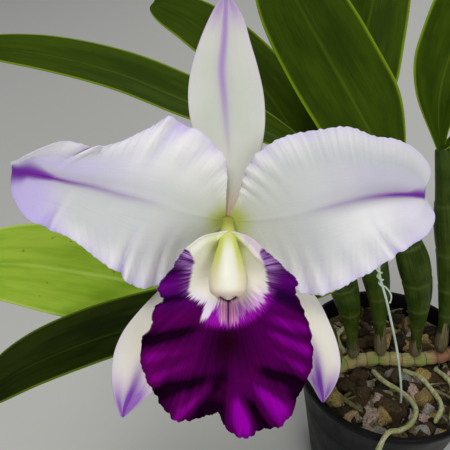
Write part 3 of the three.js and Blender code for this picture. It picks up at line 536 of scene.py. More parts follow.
# ---- Pseudobulbs ----
# Slender clubs that hold water: jointed, faintly grooved, dark green above and wrapped below in dry
# papery scales. Each has grown up from a joint of the rhizome; the oldest has lost its leaves.

BULB_FOOT = 100.1
BULB_RADIUS = 9.2
BULBS = {
    "pseudobulb_1": [(-34, -0.9, BULB_FOOT + 0.7), (-50, -24.5, 152), (-77, -56.5, 214)],
    "pseudobulb_2": [(-22, 4.5, BULB_FOOT), (-32, 10.5, 150), (-54, 23.5, 203)],
    "pseudobulb_3": [(-4, 6.5, BULB_FOOT), (-16, 15.5, 165), (-42, 33.5, 229)],
    "pseudobulb_4": [(18, 5.5, BULB_FOOT), (9, 9.5, 160), (-12, 17.5, 217)],
    "pseudobulb_5": [(35, 8.2, BULB_FOOT), (30, 22, 170), (16, 43.5, 236)],
    "pseudobulb_6": [(45.4, 10.8, BULB_FOOT - 1.3), (51, 26, 130), (61, 50, 168)],
}
# Where the dry scales end on each pseudobulb, as a share of its height.
SCALE_EDGES = (0.17, 0.1, 0.15, 0.09, 0.13, 0.5)
BULB_PROFILE = np.array([
    (0, 0.143), (0.012, 0.33), (0.04, 0.43), (0.14, 0.38), (0.3, 0.62), (0.48, 0.9),
    (0.66, 1), (0.82, 0.69), (0.94, 0.52), (1, 0.445)])
JOINTS = (0.1, 0.22, 0.36, 0.54, 0.76)


def bulb_finish(name, fresh, ripe):
    """Green skin with fine lengthwise lines, and dry torn scales over the lower part."""
    skin = Finish(name, {"IOR": 1.2, "Specular IOR Level": 0.4}, (0.05, 2, 3, 1))
    line, mottle = skin.streaks(1.5, 34, 2.4, 4), skin.clouds(85, 4)
    green = skin.coats(
        fresh,
        (ripe, mottle, 0.3, 0.7),
        ((0.09, 0.13, 0.018), line, 0.45, 0.75, 0, 0.5),
        ((0.16, 0.17, 0.05), skin.times("joint", 0.28)))
    papery = skin.coats(
        (0.07, 0.055, 0.025),
        ((0.26, 0.22, 0.12), line, 0.3, 0.7),
        ((0.05, 0.045, 0.018), mottle, 0.45, 0.7, 0, 0.7))
    dry = skin.band(skin.plus("dry", skin.times(line, 0.9)), 0.72, 0.92)
    return skin.finish(skin.blend(dry, green, papery), line, 0.35, skin.band(dry, 0, 1, 0.36, 0.8))


green_bulb = bulb_finish("green_pseudobulb", (0.018, 0.036, 0.003), (0.048, 0.08, 0.008))
old_bulb = bulb_finish("old_pseudobulb", (0.2, 0.19, 0.06), (0.36, 0.3, 0.12))
share, bearing = rings(140, 44)
joint = sum(bell(share - place, 0.008) for place in JOINTS)
waist = sum(bell(share - place - 0.014, 0.02) for place in JOINTS)
profile = smooth_path(BULB_PROFILE)(np.linspace(0, 1, 400))
outline = np.interp(share, profile[:, 0], profile[:, 1])
for number, (node, foot_to_top) in enumerate(BULBS.items()):
    old = node == "pseudobulb_6"
    grooves = (0.07 if old else 0.025) * np.cos(9 * bearing + number) * eased(0.15, 0.5, share)
    torn = 0.035 * np.sin(2 * bearing + 2 * number) + 0.02 * np.sin(5 * bearing + number)
    torn = torn + 0.012 * np.sin(13 * bearing)
    past_scale = share - SCALE_EDGES[number] - torn
    radii = BULB_RADIUS * (0.85 if old else 1) * outline * (1 + 0.03 * joint - 0.03 * waist + grooves)
    radii = radii * np.where(share > 0.985, np.sqrt(np.clip((1 - share) / 0.015, 0.06, 1)), 1)
    radii = radii + 0.22 * (1 - eased(-0.004, 0.004, past_scale)) * eased(0.02, 0.06, share)
    stem = closed_skin(f"{node}_stem", carried(foot_to_top, radii))
    give(stem, joint=joint + 0 * bearing, dry=1 - eased(-0.03, 0.03, past_scale))
    seat(stem, old_bulb if old else green_bulb, "pseudobulb", node)

# ---- Leaves ----
# Thick leathery straps, each folded along its keel and clasping the top of its pseudobulb.
# The skin is waxy, with fine lengthwise fibres, and the margin is paler than the blade; its bright
# yellow-green is partly painted light, as of light shining through the thin edge.

LEAF_THICKNESS = 1.6
LEAF_CLASP = 0.14
LEAF_BROADEST = 0.42
LEAF_SEAT = 0.04  # how deep a leaf's foot sits in its pseudobulb, as a share of the upper half of it
# For each leaf: its width, the way its upper face looks, its fold in degrees and its midline.
LEAVES = {
    "leaf_1_arching": (38, (0.15, 0.2, 0.97), 16, [
        (-80.7, -56.3, 214.7), (-96, -59.5, 218), (-117, -63.5, 216), (-139, -68.5, 214),
        (-164, -79.5, 215), (-188, -92.5, 214), (-208, -104.5, 208)]),
    "leaf_1_right": (30, (-0.3, -0.6, 0.74), 20, [
        (-73, -56.9, 216), (-66, -54.5, 230), (-52, -49.5, 247), (-38, -45.9, 259), (-23, -44.5, 269)]),
    "leaf_2_left": (50, (0, -0.62, 0.78), 14, [
        (-57.3, 20.5, 203.4), (-82, 0.5, 199), (-110, -21.5, 198), (-143, -34.5, 206),
        (-168, -41.5, 219), (-197, -48.5, 232), (-224, -55.5, 239)]),
    "leaf_2_back": (42, (0.5, -0.6, 0.6), 18, [
        (-53, 26.5, 203.4), (-58, 43.5, 224), (-76, 69.5, 246), (-100, 91.5, 266),
        (-126, 105.5, 282), (-148, 114.5, 290)]),
    "leaf_3_left": (38, (0.2, -0.1, 1), 12, [
        (-44.8, 32.5, 230), (-62, 29.5, 241), (-92, 29.5, 257), (-123, 29.5, 270),
        (-157, 31.5, 285), (-190, 29.5, 296), (-228, 26.5, 303)]),
    "leaf_3_back": (44, (0.1, -0.8, 0.6), 18, [
        (-41, 36.7, 230), (-35, 53.5, 254), (-28, 79.5, 286), (-20, 103.5, 310), (-12, 127.5, 322)]),
    "leaf_4_broad": (48, (0.1, -0.85, 0.45), 10, [
        (-12.2, 17.6, 218), (-20, 24.5, 237), (-34, 33.5, 260), (-54, 42.5, 290),
        (-73, 48.5, 320), (-84, 48.5, 348)]),
    "leaf_5_right": (44, (-0.7, 0, 0.7), 18, [
        (19.6, 42.3, 237.6), (34, 39.5, 254), (56, 43.5, 284), (84, 41.5, 304), (114, 35.5, 312)]),
    "leaf_5_back": (42, (-0.2, -0.8, 0.6), 20, [
        (15.4, 45.8, 235.9), (15, 63.5, 257), (26, 87.5, 284), (40, 109.5, 304), (56, 127.3, 312)]),
}


def blade_skin(name, surface, across, thickness, towards):
    """A closed blade: the surface moved half its thickness both ways along its own normal, out across one
    face and back across the other. Its map holds the share along it and its place across, from 0 to 1,
    on both faces, and it knows its front, the face that looks towards the given direction, from its back."""
    normal = unit(np.cross(np.gradient(surface, axis=0), np.gradient(surface, axis=1)))
    half = normal * (0.5 * thickness)[..., None]
    lay = 0.5 + 0.5 * across
    around = np.concatenate([lay, lay[::-1], lay[:1]])
    piece = closed_skin(name, np.concatenate([surface + half, (surface - half)[:, ::-1]], axis=1), around)
    first_in_front = np.full(surface.shape[:2], float((normal @ np.array(towards)).mean() > 0))
    give(piece, front=np.concatenate([first_in_front, 1 - first_in_front], axis=1))
    return piece


def leaf_surface(width, face, fold, spine, u, v):
    """Points across a spine: the half width is an eased quarter sine below the broadest place and the
    side of an oval beyond it; both halves rise from the keel at the fold angle, which opens to the tip."""
    line = even_path(spine)(u)
    ahead = unit(np.gradient(line, axis=0))
    across = unit(np.cross(ahead, unit(np.array(face))))
    beyond = np.clip((u - LEAF_BROADEST) / (1 - LEAF_BROADEST), 0, 1)
    rising = np.sin(np.pi * np.minimum(u, LEAF_BROADEST) / (2 * LEAF_BROADEST)) ** 1.6
    body = np.where(u < LEAF_BROADEST, rising, np.sqrt(1 - beyond**2.6))
    reach = (0.5 * width * (LEAF_CLASP + (1 - LEAF_CLASP) * body))[:, None]
    opening = np.radians(fold * (1.6 - 0.9 * u))[:, None]
    bend = np.sqrt(v * v + 0.006)[None] - math.sqrt(0.006)
    sideways = across[:, None] * (reach * v[None] * np.cos(opening))[..., None]
    upwards = np.cross(across, ahead)[:, None] * (reach * bend * np.sin(opening))[..., None]
    return line[:, None] + sideways + upwards


def leaf_finish(name, deep, light, rim, keel, under):
    """Waxy green: cloudy patches, fine fibres along the blade, a paler keel and rim, a few dark specks.
    The rim is partly painted light, as of light shining through the thin edge.
    """
    skin = Finish(name, {"IOR": 1.12, "Specular IOR Level": 0.3}, (0.06, 2, 3, 0.6))
    along, across = skin.lengthwise()
    out = skin.node("Math", "Value", {0: skin.plus(across, -0.5)}, operation="ABSOLUTE")
    fibre, cloud = skin.streaks(1.2, 42, 3, 5, 0.6), skin.streaks(2.2, 2.6, 2, 4)
    colour = skin.coats(
        deep,
        (light, cloud, 0.32, 0.7),
        (rim, fibre, 0.5, 0.75, 0, 0.13),
        (deep, fibre, 0.3, 0.5, 0.22, 0),
        # the margin: its own paler green, and painted light as of light shining through the thin edge
        (rim, out, 0.455, 0.497, 0, 0.85),
        (keel, skin.times(skin.band(out, 0.004, 0.03, 0.6, 0), skin.band(along, 0.2, 0.9, 1, 0.35))),
        ((0.03, 0.03, 0.01), skin.clouds(230, 2), 0.7, 0.76, 0, 0.5))
    roughness = skin.band(cloud, 0.3, 0.7, 0.45, 0.6)
    return skin.finish(skin.backed(colour, 0.55, under), fibre, 0.14, roughness)


dark_leaf = leaf_finish("dark_leaf", (0.026, 0.05, 0.002), (0.048, 0.083, 0.004),
                        (0.24, 0.36, 0.012), (0.09, 0.15, 0.008), (0.06, 0.1, 0.012))
shaded_leaf = leaf_finish("shaded_leaf", (0.008, 0.013, 0.002), (0.02, 0.032, 0.003),
                          (0.12, 0.18, 0.01), (0.04, 0.07, 0.005), (0.05, 0.08, 0.01))
pale_leaf = leaf_finish("pale_leaf", (0.22, 0.39, 0.02), (0.38, 0.55, 0.055),
                        (0.52, 0.66, 0.14), (0.58, 0.72, 0.2), (0.24, 0.36, 0.04))
LEAF_U = np.concatenate([
    np.linspace(0, 0.94, 84), 0.94 + 0.06 * np.sin(0.5 * np.pi * np.linspace(0.1, 1, 12))])
LEAF_V = np.sin(0.5 * np.pi * np.linspace(-1, 1, 27)) * 0.35 + 0.65 * np.linspace(-1, 1, 27)
for number, (node, (width, face, fold, spine)) in enumerate(LEAVES.items()):
    middle, top = np.array(BULBS[f"pseudobulb_{node[5]}"])[1:]
    growing_point = tuple(top + LEAF_SEAT * (middle - top))
    blade = leaf_surface(width, face, fold, [growing_point, *spine], LEAF_U, LEAF_V)
    sway = np.sin(9 * LEAF_U[:, None] + number) * np.abs(LEAF_V[None]) ** 3 * 0.35
    blade[..., 2] += sway * eased(0.2, 0.5, LEAF_U)[:, None]
    keel = bell(LEAF_V, 0.09)[None] * (1 - 0.8 * LEAF_U[:, None])
    edge = np.sqrt(np.clip(1 - np.abs(LEAF_V) ** 5, 0.12, 1))[None]
    end = np.sqrt(np.clip((1 - LEAF_U) / 0.04, 0.1, 1))[:, None]
    thickness = LEAF_THICKNESS * (0.85 * edge + 0.5 * keel) * end
    piece = blade_skin(f"{node}_blade", blade, LEAF_V, thickness, face)
    skin = {"leaf_2_left": pale_leaf, "leaf_1_arching": shaded_leaf}.get(node, dark_leaf)
    seat(piece, skin, "leaf_pale" if skin is pale_leaf else "leaf_dark", node)

# ---- Roots ----
# Thick cords with a spongy whitish skin that turns green where it is damp. They spread from the
# rhizome over the bark, and one has grown out over the rim of the pot.

ROOT_RADIUS = 1.6
spongy = Finish("spongy_root", {"Roughness": 0.75}, (0.05, 1, 1, 1))
pores = spongy.clouds(520, 5, 0.7)
damp = spongy.streaks(6, 1.5, 1.6, 4)
root_skin = spongy.finish(spongy.coats(
    (0.26, 0.25, 0.12),
    ((0.66, 0.64, 0.4), pores, 0.3, 0.7),
    ((0.34, 0.42, 0.1), damp, 0.42, 0.66, 0, 0.85),
    ((0.42, 0.52, 0.14), spongy.lengthwise()[0], 0.93, 0.99)), pores, 0.25)
share, bearing = rings(130, 20)
for number, (node, path) in enumerate(ROOT_PATHS.items()):
    knots = 0.08 * np.sin(23 * share + number) + 0.05 * np.sin(51 * share + 2 * bearing)
    end = np.sqrt(np.clip(np.minimum(1, (1 - share) / 0.03) * np.minimum(1, (share + 0.004) / 0.02), 0.02, 1))
    cord = carried(path, ROOT_RADIUS * (0.93 + knots) * end)
    seat(closed_skin(f"{node}_cord", cord), root_skin, "root", node)

# ---- Wire ----
# A pale plastic-coated tie wire: its foot is pushed into the bark, and its top is hooked round the
# fourth pseudobulb to keep it upright.

WIRE_RADIUS = 0.7
HOOK_CENTRE = np.array([-6.4, 15, 202])
HOOK_RADIUS = 8.1
HOOK_PITCH = 0.018  # its rise in mm for each degree that it turns
hook_angle = np.array([205, 255, 305, 355, 405, 450])
hook_turn = np.radians(hook_angle)
hook = HOOK_CENTRE + np.stack([
    HOOK_RADIUS * np.cos(hook_turn), HOOK_RADIUS * np.sin(hook_turn), HOOK_PITCH * (hook_angle - 330)], -1)
wire_path = [(3, -28.5, 78), (2, -27.5, 100), (-5, -21.5, 135), (-16, -15.5, 172), (-22, -7.5, 192), *hook]
coating = Finish("pale_wire_coating", {"Roughness": 0.4, "Specular IOR Level": 0.5})
smudge = coating.clouds(140, 4)
coated = coating.finish(
    coating.coats((0.66, 0.78, 0.68), ((0.5, 0.56, 0.42), smudge, 0.4, 0.7)), smudge, 0.05)
share, bearing = rings(260, 14)
wire_radii = WIRE_RADIUS * domed(share, 0.004) * (1 + 0.03 * np.sin(400 * share) + 0 * bearing)
seat(closed_skin("hooked_tie_wire", carried(wire_path, wire_radii)), coated, "wire", "tie_wire")
# The tail of the wire comes back down from the hook: it opens in a narrow loop and winds round the main
# strand above it, so that its distance from that strand swells in the loop and its bearing turns.
TAIL_SHARES = (0.545, 0.68)
TAIL_TURNS = 3
LOOP_WIDTH = 1.9
LOOP_SHARE = 0.48
TAIL_THINNESS = 0.7
tail = np.linspace(0, 1, 200)
tail_at = TAIL_SHARES[0] + (TAIL_SHARES[1] - TAIL_SHARES[0]) * tail
in_loop = np.sin(np.pi * np.clip(tail / LOOP_SHARE, 0, 1))
winding = 2 * np.pi * TAIL_TURNS * np.clip((tail - LOOP_SHARE) / (1 - LOOP_SHARE), 0, 1)
stand_off = 2 * WIRE_RADIUS * 0.95 + LOOP_WIDTH * in_loop
tail_line = even_path(wire_path)(tail_at) + stand_off[:, None] * np.stack(
    [np.cos(winding), -np.sin(winding), 0.2 * np.sin(winding)], -1)
tail_radii = TAIL_THINNESS * WIRE_RADIUS * domed(share, 0.01) * np.ones((1, 12))
seat(closed_skin("twisted_wire_tail", carried(tail_line[::4], tail_radii)), coated, "wire", "tie_wire")

# ---- Flower stalk ----
# One green stem from the top of the flowering pseudobulb: peduncle, pedicel and, behind the bloom,
# the ovary with its six shallow grooves.

BLOOM_CENTRE = np.array([-104.7, -113, 311])
BLOOM_TILT = math.radians(40)
BLOOM_OUT = np.array([0, -math.cos(BLOOM_TILT), math.sin(BLOOM_TILT)])
OVARY_TOP = 6.6


def behind_bloom(distance, drop=0):
    """A point on the bloom's axis behind its centre, lowered by the drop."""
    return tuple(BLOOM_CENTRE - distance * BLOOM_OUT - (0, 0, drop))


stalk_line = [
    (-76.4, -55.9, 212.6), (-81, -60.5, 232), (-89, -67.5, 252), (-97, -75.5, 271),
    behind_bloom(40, 3), behind_bloom(22, 0.5), behind_bloom(OVARY_TOP)]
STALK_PROFILE = np.array([
    (0, 1.8), (0.1, 1.7), (0.3, 1.7), (0.5, 1.7), (0.62, 1.9), (0.74, 2.4), (0.88, 3), (0.96, 3.1), (1, 3.1)])
share, bearing = rings(150, 36)
grooves = 0.06 * eased(0.6, 0.75, share) * np.cos(6 * bearing)
node_ring = 0.12 * bell(share - 0.5, 0.008)
radii = np.interp(share, *STALK_PROFILE.T) * (0.97 + grooves + node_ring) * domed(share, 0.008)
stalk = closed_skin("flower_stem", carried(stalk_line, radii, (1, 0, 0)))
give(stalk, rise=share + 0 * bearing)
stem_green = Finish("fresh_stem", {"Roughness": 0.45}, (0.12, 2, 3, 1))
streak = stem_green.streaks(2, 18, 3, 4)
fresh = stem_green.coats(
    (0.15, 0.25, 0.04),
    ((0.42, 0.5, 0.18), "rise", 0.5, 0.95),
    ((0.32, 0.24, 0.16), streak, 0.4, 0.8, 0, 0.4))
seat(stalk, stem_green.finish(fresh, streak, 0.15), "stalk", "flower_stalk")

# ---- Flower sheath ----
# The flattened papery green bract that wrapped the young bud; it stands on the pseudobulb and is
# still folded round the foot of the stalk.

SHEATH_THICKNESS = 0.45
SHEATH_U = np.linspace(0, 1, 70)
SHEATH_V = np.linspace(-1, 1, 45)
SHEATH_FROM, SHEATH_LENGTH = 0.02, 0.43  # as shares of the stalk
spine = even_path(stalk_line)(SHEATH_FROM + SHEATH_LENGTH * SHEATH_U)
ahead = unit(np.gradient(spine, axis=0))
back = unit(np.cross((0, 1, 0), ahead))
side = np.cross(ahead, back)
reach = (3 + 3.2 * np.sin(np.pi * np.minimum(0.12 + 0.6 * SHEATH_U, 1)))[:, None]
wrap = np.radians(135) * (1 - 0.8 * SHEATH_U[:, None] ** 2) * SHEATH_V[None]
sheath_face = spine[:, None] + side[:, None] * (reach * np.cos(wrap))[..., None]
sheath_face = sheath_face + back[:, None] * (0.7 * reach * np.sin(wrap))[..., None]
sheath_face += 0.12 * np.sin(31 * SHEATH_V)[None, :, None] * side[:, None]
sheath_depth = np.full(wrap.shape, SHEATH_THICKNESS)
sheath = blade_skin("papery_flower_sheath", sheath_face, SHEATH_V, sheath_depth, side[0])
papery = Finish("papery_sheath", {"Roughness": 0.65}, (0.15, 1, 2, 0.5))
vein = papery.streaks(1.2, 30, 3, 4)
drying = papery.plus(papery.lengthwise()[0], papery.times(vein, 0.4))
papery_green = papery.blend(vein, (0.16, 0.24, 0.05), (0.42, 0.5, 0.16))
papery_skin = papery.finish(papery.coats(papery_green, ((0.52, 0.42, 0.24), drying, 0.75, 1.15)), vein, 0.2)
seat(sheath, papery_skin, "sheath", "flower_sheath")

# ---- Sepals ----
# Three narrow, firm outer segments: the upper one stands up behind the petals and the two lower ones
# spread behind the lip. Each is drawn from root to tip as rows of edge, midrib and other edge.

UPPER_SEPAL = [
    (-1.2, 1.6, -5.2, 0, 1.8, -5.2, 1.2, 1.6, -5.2),
    (-2.8, 8.3, -6.5, 0.6, 8.3, -6.5, 4.3, 8.3, -6.5),
    (-5.9, 15.4, -7.5, 0.5, 15.5, -8, 7.7, 15.4, -7.5),
    (-8.9, 22.8, -7.5, 0.2, 23, -9, 10.2, 22.2, -7.5),
    (-11.4, 30.8, -7, -0.5, 30.5, -9, 11.4, 30.2, -7),
    (-12.2, 39, -6.5, -1.2, 38.5, -8.5, 11, 38.7, -6.5),
    (-11.2, 47.2, -6, -1.9, 47.5, -7.5, 9.2, 47.2, -6),
    (-8.8, 55, -5.5, -1.2, 55.3, -6.5, 6.9, 55, -5.5),
    (-5.5, 62.5, -5, -0.8, 62.3, -5.5, 4.6, 62.5, -5),
    (-3, 66.9, -4.5, -0.6, 67.3, -4.8, 1.8, 66.9, -4.5),
    (-1.1, 69.3, -4, -0.6, 69.55, -4, -0.2, 69.3, -4),
]
LOWER_LEFT_SEPAL = [
    (-1.6, -0.3, -5.2, -1.1, -1, -5.2, -0.4, -1.5, -5.2),
    (-7.4, -6.5, -7, -5.8, -8.6, -7, -3.7, -10.5, -7),
    (-13.6, -13, -8.5, -10.9, -16.1, -8.5, -7.4, -18.9, -8.5),
    (-21.2, -20.9, -9.5, -16.2, -24.4, -10, -10.9, -28.1, -9.5),
    (-27.5, -27.5, -10, -21.4, -31.7, -11, -14.4, -35.9, -10),
    (-32.8, -34.4, -10, -25.5, -39.4, -11.5, -17.5, -43.1, -10),
    (-35.5, -41.1, -9.5, -27.7, -46, -11.5, -20.3, -48.6, -9.5),
    (-36.1, -47.9, -9, -29.5, -51.5, -11, -23.6, -52.9, -9),
    (-35.3, -53.2, -8, -31.2, -55.5, -9.5, -26.9, -55.7, -8),
    (-33.9, -57.3, -7, -32.2, -58.5, -8, -30.2, -58.5, -7),
    (-32.9, -59.6, -6.5, -32.2, -59.9, -6.5, -31.6, -59.6, -6.5),
]
LOWER_RIGHT_SEPAL = [
    (1.6, -0.3, -5.2, 1.1, -1, -5.2, 0.4, -1.5, -5.2),
    (8.6, -6.8, -7, 6.8, -8.9, -7, 4.6, -10.8, -7),
    (14.9, -12.4, -8.5, 12.1, -15.5, -8.5, 9, -18.3, -8.5),
    (21.5, -18.1, -9.5, 17.5, -21.9, -10, 12.8, -24.9, -9.5),
    (27.5, -23.4, -10, 22.3, -28, -11, 16.6, -31.2, -10),
    (31.6, -31.2, -10, 25.5, -34.3, -11.5, 19.4, -37.2, -10),
    (34.3, -38.7, -9.5, 27.4, -40.9, -11.5, 21.5, -42.4, -9.5),
    (35, -44.2, -9, 28.3, -46.5, -11, 23.3, -46.6, -9),
    (34, -48.3, -8, 28.7, -50.2, -9.5, 25.4, -49.2, -8),
    (31.7, -52.3, -7, 29.1, -52.9, -8, 27.1, -52, -7),
    (29.8, -55, -6.5, 29.2, -55.3, -6.5, 28.6, -55, -6.5),
]


def to_plant(places):
    """From the bloom's own frame, x right, y up its face, z out of it, to the plant's: a turn about x
    by a right angle less the bloom's tilt, then a move to the bloom's centre."""
    turn = math.pi / 2 - BLOOM_TILT
    x, y, z = np.moveaxis(places, -1, 0)
    upright = y * math.sin(turn) + z * math.cos(turn)
    return BLOOM_CENTRE + np.stack([x, y * math.cos(turn) - z * math.sin(turn), upright], -1)


def segment_surface(rows, u, v):
    """Points of a segment in the bloom's frame: smooth rails run through the rows' three points, and
    at each share of the way a parabola across passes through the three rails."""
    rails = np.reshape(rows, (-1, 3, 3))
    first, middle, last = (smooth_path(rails[:, k])(u)[:, None] for k in range(3))
    v = v[None, :, None]
    return middle + 0.5 * (last - first) * v + (0.5 * (first + last) - middle) * v * v


def segment_finish(name, body, shade, rim, rib, tip, root, under):
    """A petal skin: fine fans of veins, a paler rim, a coloured midrib, flush and root, a plainer back. On
    the petals the rim coat also holds painted highlights, and the flush holds painted shade in fold hollows.
    """
    gloss = {"Roughness": 0.5, "Specular IOR Level": 0.25, "Sheen Weight": 0.08, "Sheen Roughness": 0.5}
    skin = Finish(name, gloss, (0.14, 1.2, 1, 1.2))
    vein = skin.streaks(2.2, 60, 1.6, 4, 0.6)
    colour = skin.coats(
        body,
        (shade, skin.clouds(55, 4), 0.3, 0.75),
        (rim, "pale"),
        (rib, vein, 0.5, 0.85, 0, 0.08),
        (tip, skin.times("flush", skin.band(vein, 0.2, 0.6, 0.75, 1))),
        (rib, skin.times("stripe", skin.band(vein, 0.25, 0.6, 0.92, 1))),
        (root, "base"))
    relief = skin.plus(vein, skin.times(skin.clouds(1500, 2), 0.35))
    return skin.finish(skin.backed(colour, 0.5, under), relief, 0.11)


def give_faces(piece, axis, **grown):
    """Gives both faces of a blade the same numbers; the back runs the other way along the axis."""
    for name, values in grown.items():
        give(piece, **{name: np.concatenate([values, np.flip(values, axis)], axis)})


VIOLET = (0.16, 0.003, 0.34)
LILAC = (0.6, 0.5, 0.9)
NEAR_WHITE = (0.93, 0.91, 0.93)
upper_skin = segment_finish("upper_sepal_skin", (0.7, 0.7, 0.635), (0.62, 0.66, 0.57), (0.84, 0.84, 0.8),
                            (0.36, 0.17, 0.58), (0.42, 0.2, 0.62), (0.66, 0.48, 0.34), (0.62, 0.7, 0.46))
# The lower sepals are cream; their skin is made far brighter than the upper one's, partly painted light that
# makes up for the shade the lip and petals cast on them.
lower_skin_painted_light = segment_finish("lower_sepal_skin_painted_light", (0.99, 0.96, 0.85), (0.97, 0.94, 0.77), NEAR_WHITE,
                            (0.19, 0.03, 0.4), (0.34, 0.13, 0.56), (0.62, 0.62, 0.36), (0.62, 0.7, 0.46))
SEPAL_THICKNESS = 0.9
SEPAL_U = np.linspace(0, 1, 150)
SEPAL_V = np.linspace(-1, 1, 45)
U, V = np.meshgrid(SEPAL_U, SEPAL_V, indexing="ij")
# For each sepal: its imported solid, rows and finish; the width of the midrib's stroke at the root and what
# it gains to the tip; where the stroke starts and is full and how strong it is; where the lilac beside the
# tip starts and is full, how strong it is and how far out it lies; how strong the root colour is; and how
# strong the lilac haze on its inner half is.
SEPALS = {
    "upper_sepal": (
        "dorsal_sepal", UPPER_SEPAL, upper_skin, (0.05, 0.15), (0.12, 0.62, 0.72),
        (0.7, 0.88, 0.62, 0.6), 1, 0),
    "lower_left_sepal": (
        "lateral_sepal_left", LOWER_LEFT_SEPAL, lower_skin_painted_light, (0.12, 0.22), (0.42, 0.82, 1),
        (0.6, 0.92, 0.95, 0.7), 0.3, 0.95),
    "lower_right_sepal": (
        "lateral_sepal_right", LOWER_RIGHT_SEPAL, lower_skin_painted_light, (0.12, 0.2), (0.38, 0.82, 1),
        (0.66, 0.94, 0.9, 0.7), 0.3, 0.95),
}
for name, (node, rows, skin, rib_widths, rib_marks, tip_marks, root, haze) in SEPALS.items():
    rib_from, rib_full, rib_depth = rib_marks
    tip_from, tip_full, tip_depth, tip_out = tip_marks
    face = segment_surface(rows, SEPAL_U, SEPAL_V)
    face[..., 2] += 0.25 * bell(V, 0.1) - 0.12 * np.abs(V) ** 4 * np.sin(21 * U)
    fullness = 0.35 + 0.65 * np.sqrt(1 - 0.98 * V**4)
    thickness = SEPAL_THICKNESS * fullness * np.sqrt(np.clip((1 - U) / 0.05, 0.15, 1))
    piece = blade_skin(name, to_plant(face), SEPAL_V, thickness, BLOOM_OUT)
    broad = rib_widths[0] + rib_widths[1] * U * U
    rib_line = 0.85 * bell(V, broad) + 0.25 * bell(V, 2.6 * broad)
    tipped = eased(tip_from, tip_full, U)
    inner_haze = haze * bell(V - 0.35, 0.42) * eased(0.5, 0.85, U)
    rooted = 0.6 * (1 - eased(0.04, 0.2, U)) + 0.4 * (1 - eased(0.03, 0.09, U))
    flush = tip_depth * bell(np.abs(V) - tip_out, 0.38) * tipped + inner_haze + 0.15 * tipped
    give_faces(
        piece, 1,
        stripe=np.clip(rib_depth * rib_line * eased(rib_from, rib_full, U), 0, 1),
        flush=np.clip(flush + 0.25 * np.abs(V) ** 6 * eased(0.3, 0.7, U), 0, 1),
        base=root * rooted * (1 - 0.4 * np.abs(V)),
        pale=0.5 * np.abs(V) ** 3 * eased(0.15, 0.5, U))
    seat(piece, skin, "sepal", node)

# ---- Petals ----
# Two broad, thin inner segments, white with a violet stroke down the midrib to the tip.
# Their margins are waved and their inner halves pleated, because they unfolded from a tight bud.

LEFT_PETAL = [
    (-0.6, 2.2, -3.6, -1, 0.3, -3.8, -0.6, -1.4, -3.6),
    (-0.5, 7.7, -2.6, -5.4, 1.2, -3, -6.3, -4.6, -3.5),
    (-0.2, 14.2, -1.8, -9.4, 2.1, -2.5, -11.5, -10.4, -4),
    (-1.3, 20, -1.4, -14.4, 3.3, -2, -16.4, -16.1, -4),
    (-8.7, 27.2, -1, -20.3, 5.1, -1, -21.4, -19.3, -3),
    (-17.6, 31, -1, -26.7, 6.8, 0, -27.9, -19.5, -2),
    (-24, 27.6, 0, -32.7, 8.3, 0, -32.8, -15.2, -1),
    (-32.2, 23.6, 1, -39.8, 10.4, 0, -39.7, -10.7, -1),
    (-39.7, 22, 2, -47.2, 11.9, -1, -46.3, -5.4, -1),
    (-47.6, 23.8, 2, -54, 13.5, -2, -53.1, -2.4, -2),
    (-55.5, 21.6, 1, -60.2, 14.8, -3.5, -61.2, 1.4, -4),
    (-62.4, 18.9, -2, -64.3, 15.4, -5, -66.1, 8.6, -6),
    (-66.2, 18.2, -4.8, -65.9, 16.3, -6, -66.7, 13.2, -6.5),
]
RIGHT_PETAL = [
    (0.6, 2.2, -3.6, 1, 0.3, -3.8, 0.6, -1.4, -3.6),
    (3, 7.2, -2.5, 5.6, 0.5, -3, 6, -6, -3.5),
    (4.2, 12, -1.5, 10.2, 0.8, -2.5, 11.2, -12.1, -4),
    (6.3, 17.6, -1, 15.9, 1.5, -2, 16.7, -17.6, -4),
    (11.3, 22.7, -1, 21.8, 2.4, -1, 22.6, -21.7, -3),
    (19.4, 26.3, -1, 28, 3.9, -0.5, 29.5, -21.5, -1),
    (27.9, 27.6, 0, 34, 5.4, -1, 35.9, -18.4, 0),
    (36.2, 28.2, 0, 40.1, 6.9, -1.5, 42.2, -14.8, 1),
    (43.6, 25.5, 0, 46, 7.8, -2.5, 47.8, -11.2, 1),
    (50.7, 24.5, -1, 51.5, 8.2, -4, 53.7, -7.4, 0),
    (57, 21.3, -2, 55.9, 8.2, -5.5, 59.4, -3.9, -1),
    (61.5, 15.8, -4, 59.1, 8, -7, 62.4, 1.8, -3),
    (61.1, 11.1, -6.5, 60.6, 7.7, -8, 61.3, 6.5, -7),
]
# Folds that run in from the upper (-1) and the lower (1) margin of a petal: how far along it each lies,
# how high it is in mm, and how wide as a share of the petal's length.
LEFT_FOLDS = {
    -1: [
        (0.15, 0.4, 0.02), (0.19, -0.5, 0.018), (0.235, 0.7, 0.02), (0.28, -0.8, 0.018),
        (0.325, 1.1, 0.018), (0.372, -2, 0.019), (0.415, 1.7, 0.018), (0.46, -0.3, 0.025),
        (0.53, 0.4, 0.03), (0.652, 1.6, 0.01), (0.669, -1.9, 0.01), (0.7, 0.8, 0.02), (0.9, 0.5, 0.03)],
    1: [
        (0.2, 0.3, 0.02), (0.26, -0.4, 0.018), (0.31, 0.8, 0.018), (0.345, -0.7, 0.014),
        (0.385, 1, 0.018), (0.425, -0.6, 0.014), (0.462, 1.5, 0.014), (0.492, -2.2, 0.012),
        (0.53, 0.9, 0.016), (0.6, -0.4, 0.03), (0.66, 0.4, 0.02), (0.748, 1.6, 0.013),
        (0.776, -1.6, 0.014), (0.82, 0.5, 0.03)],
}
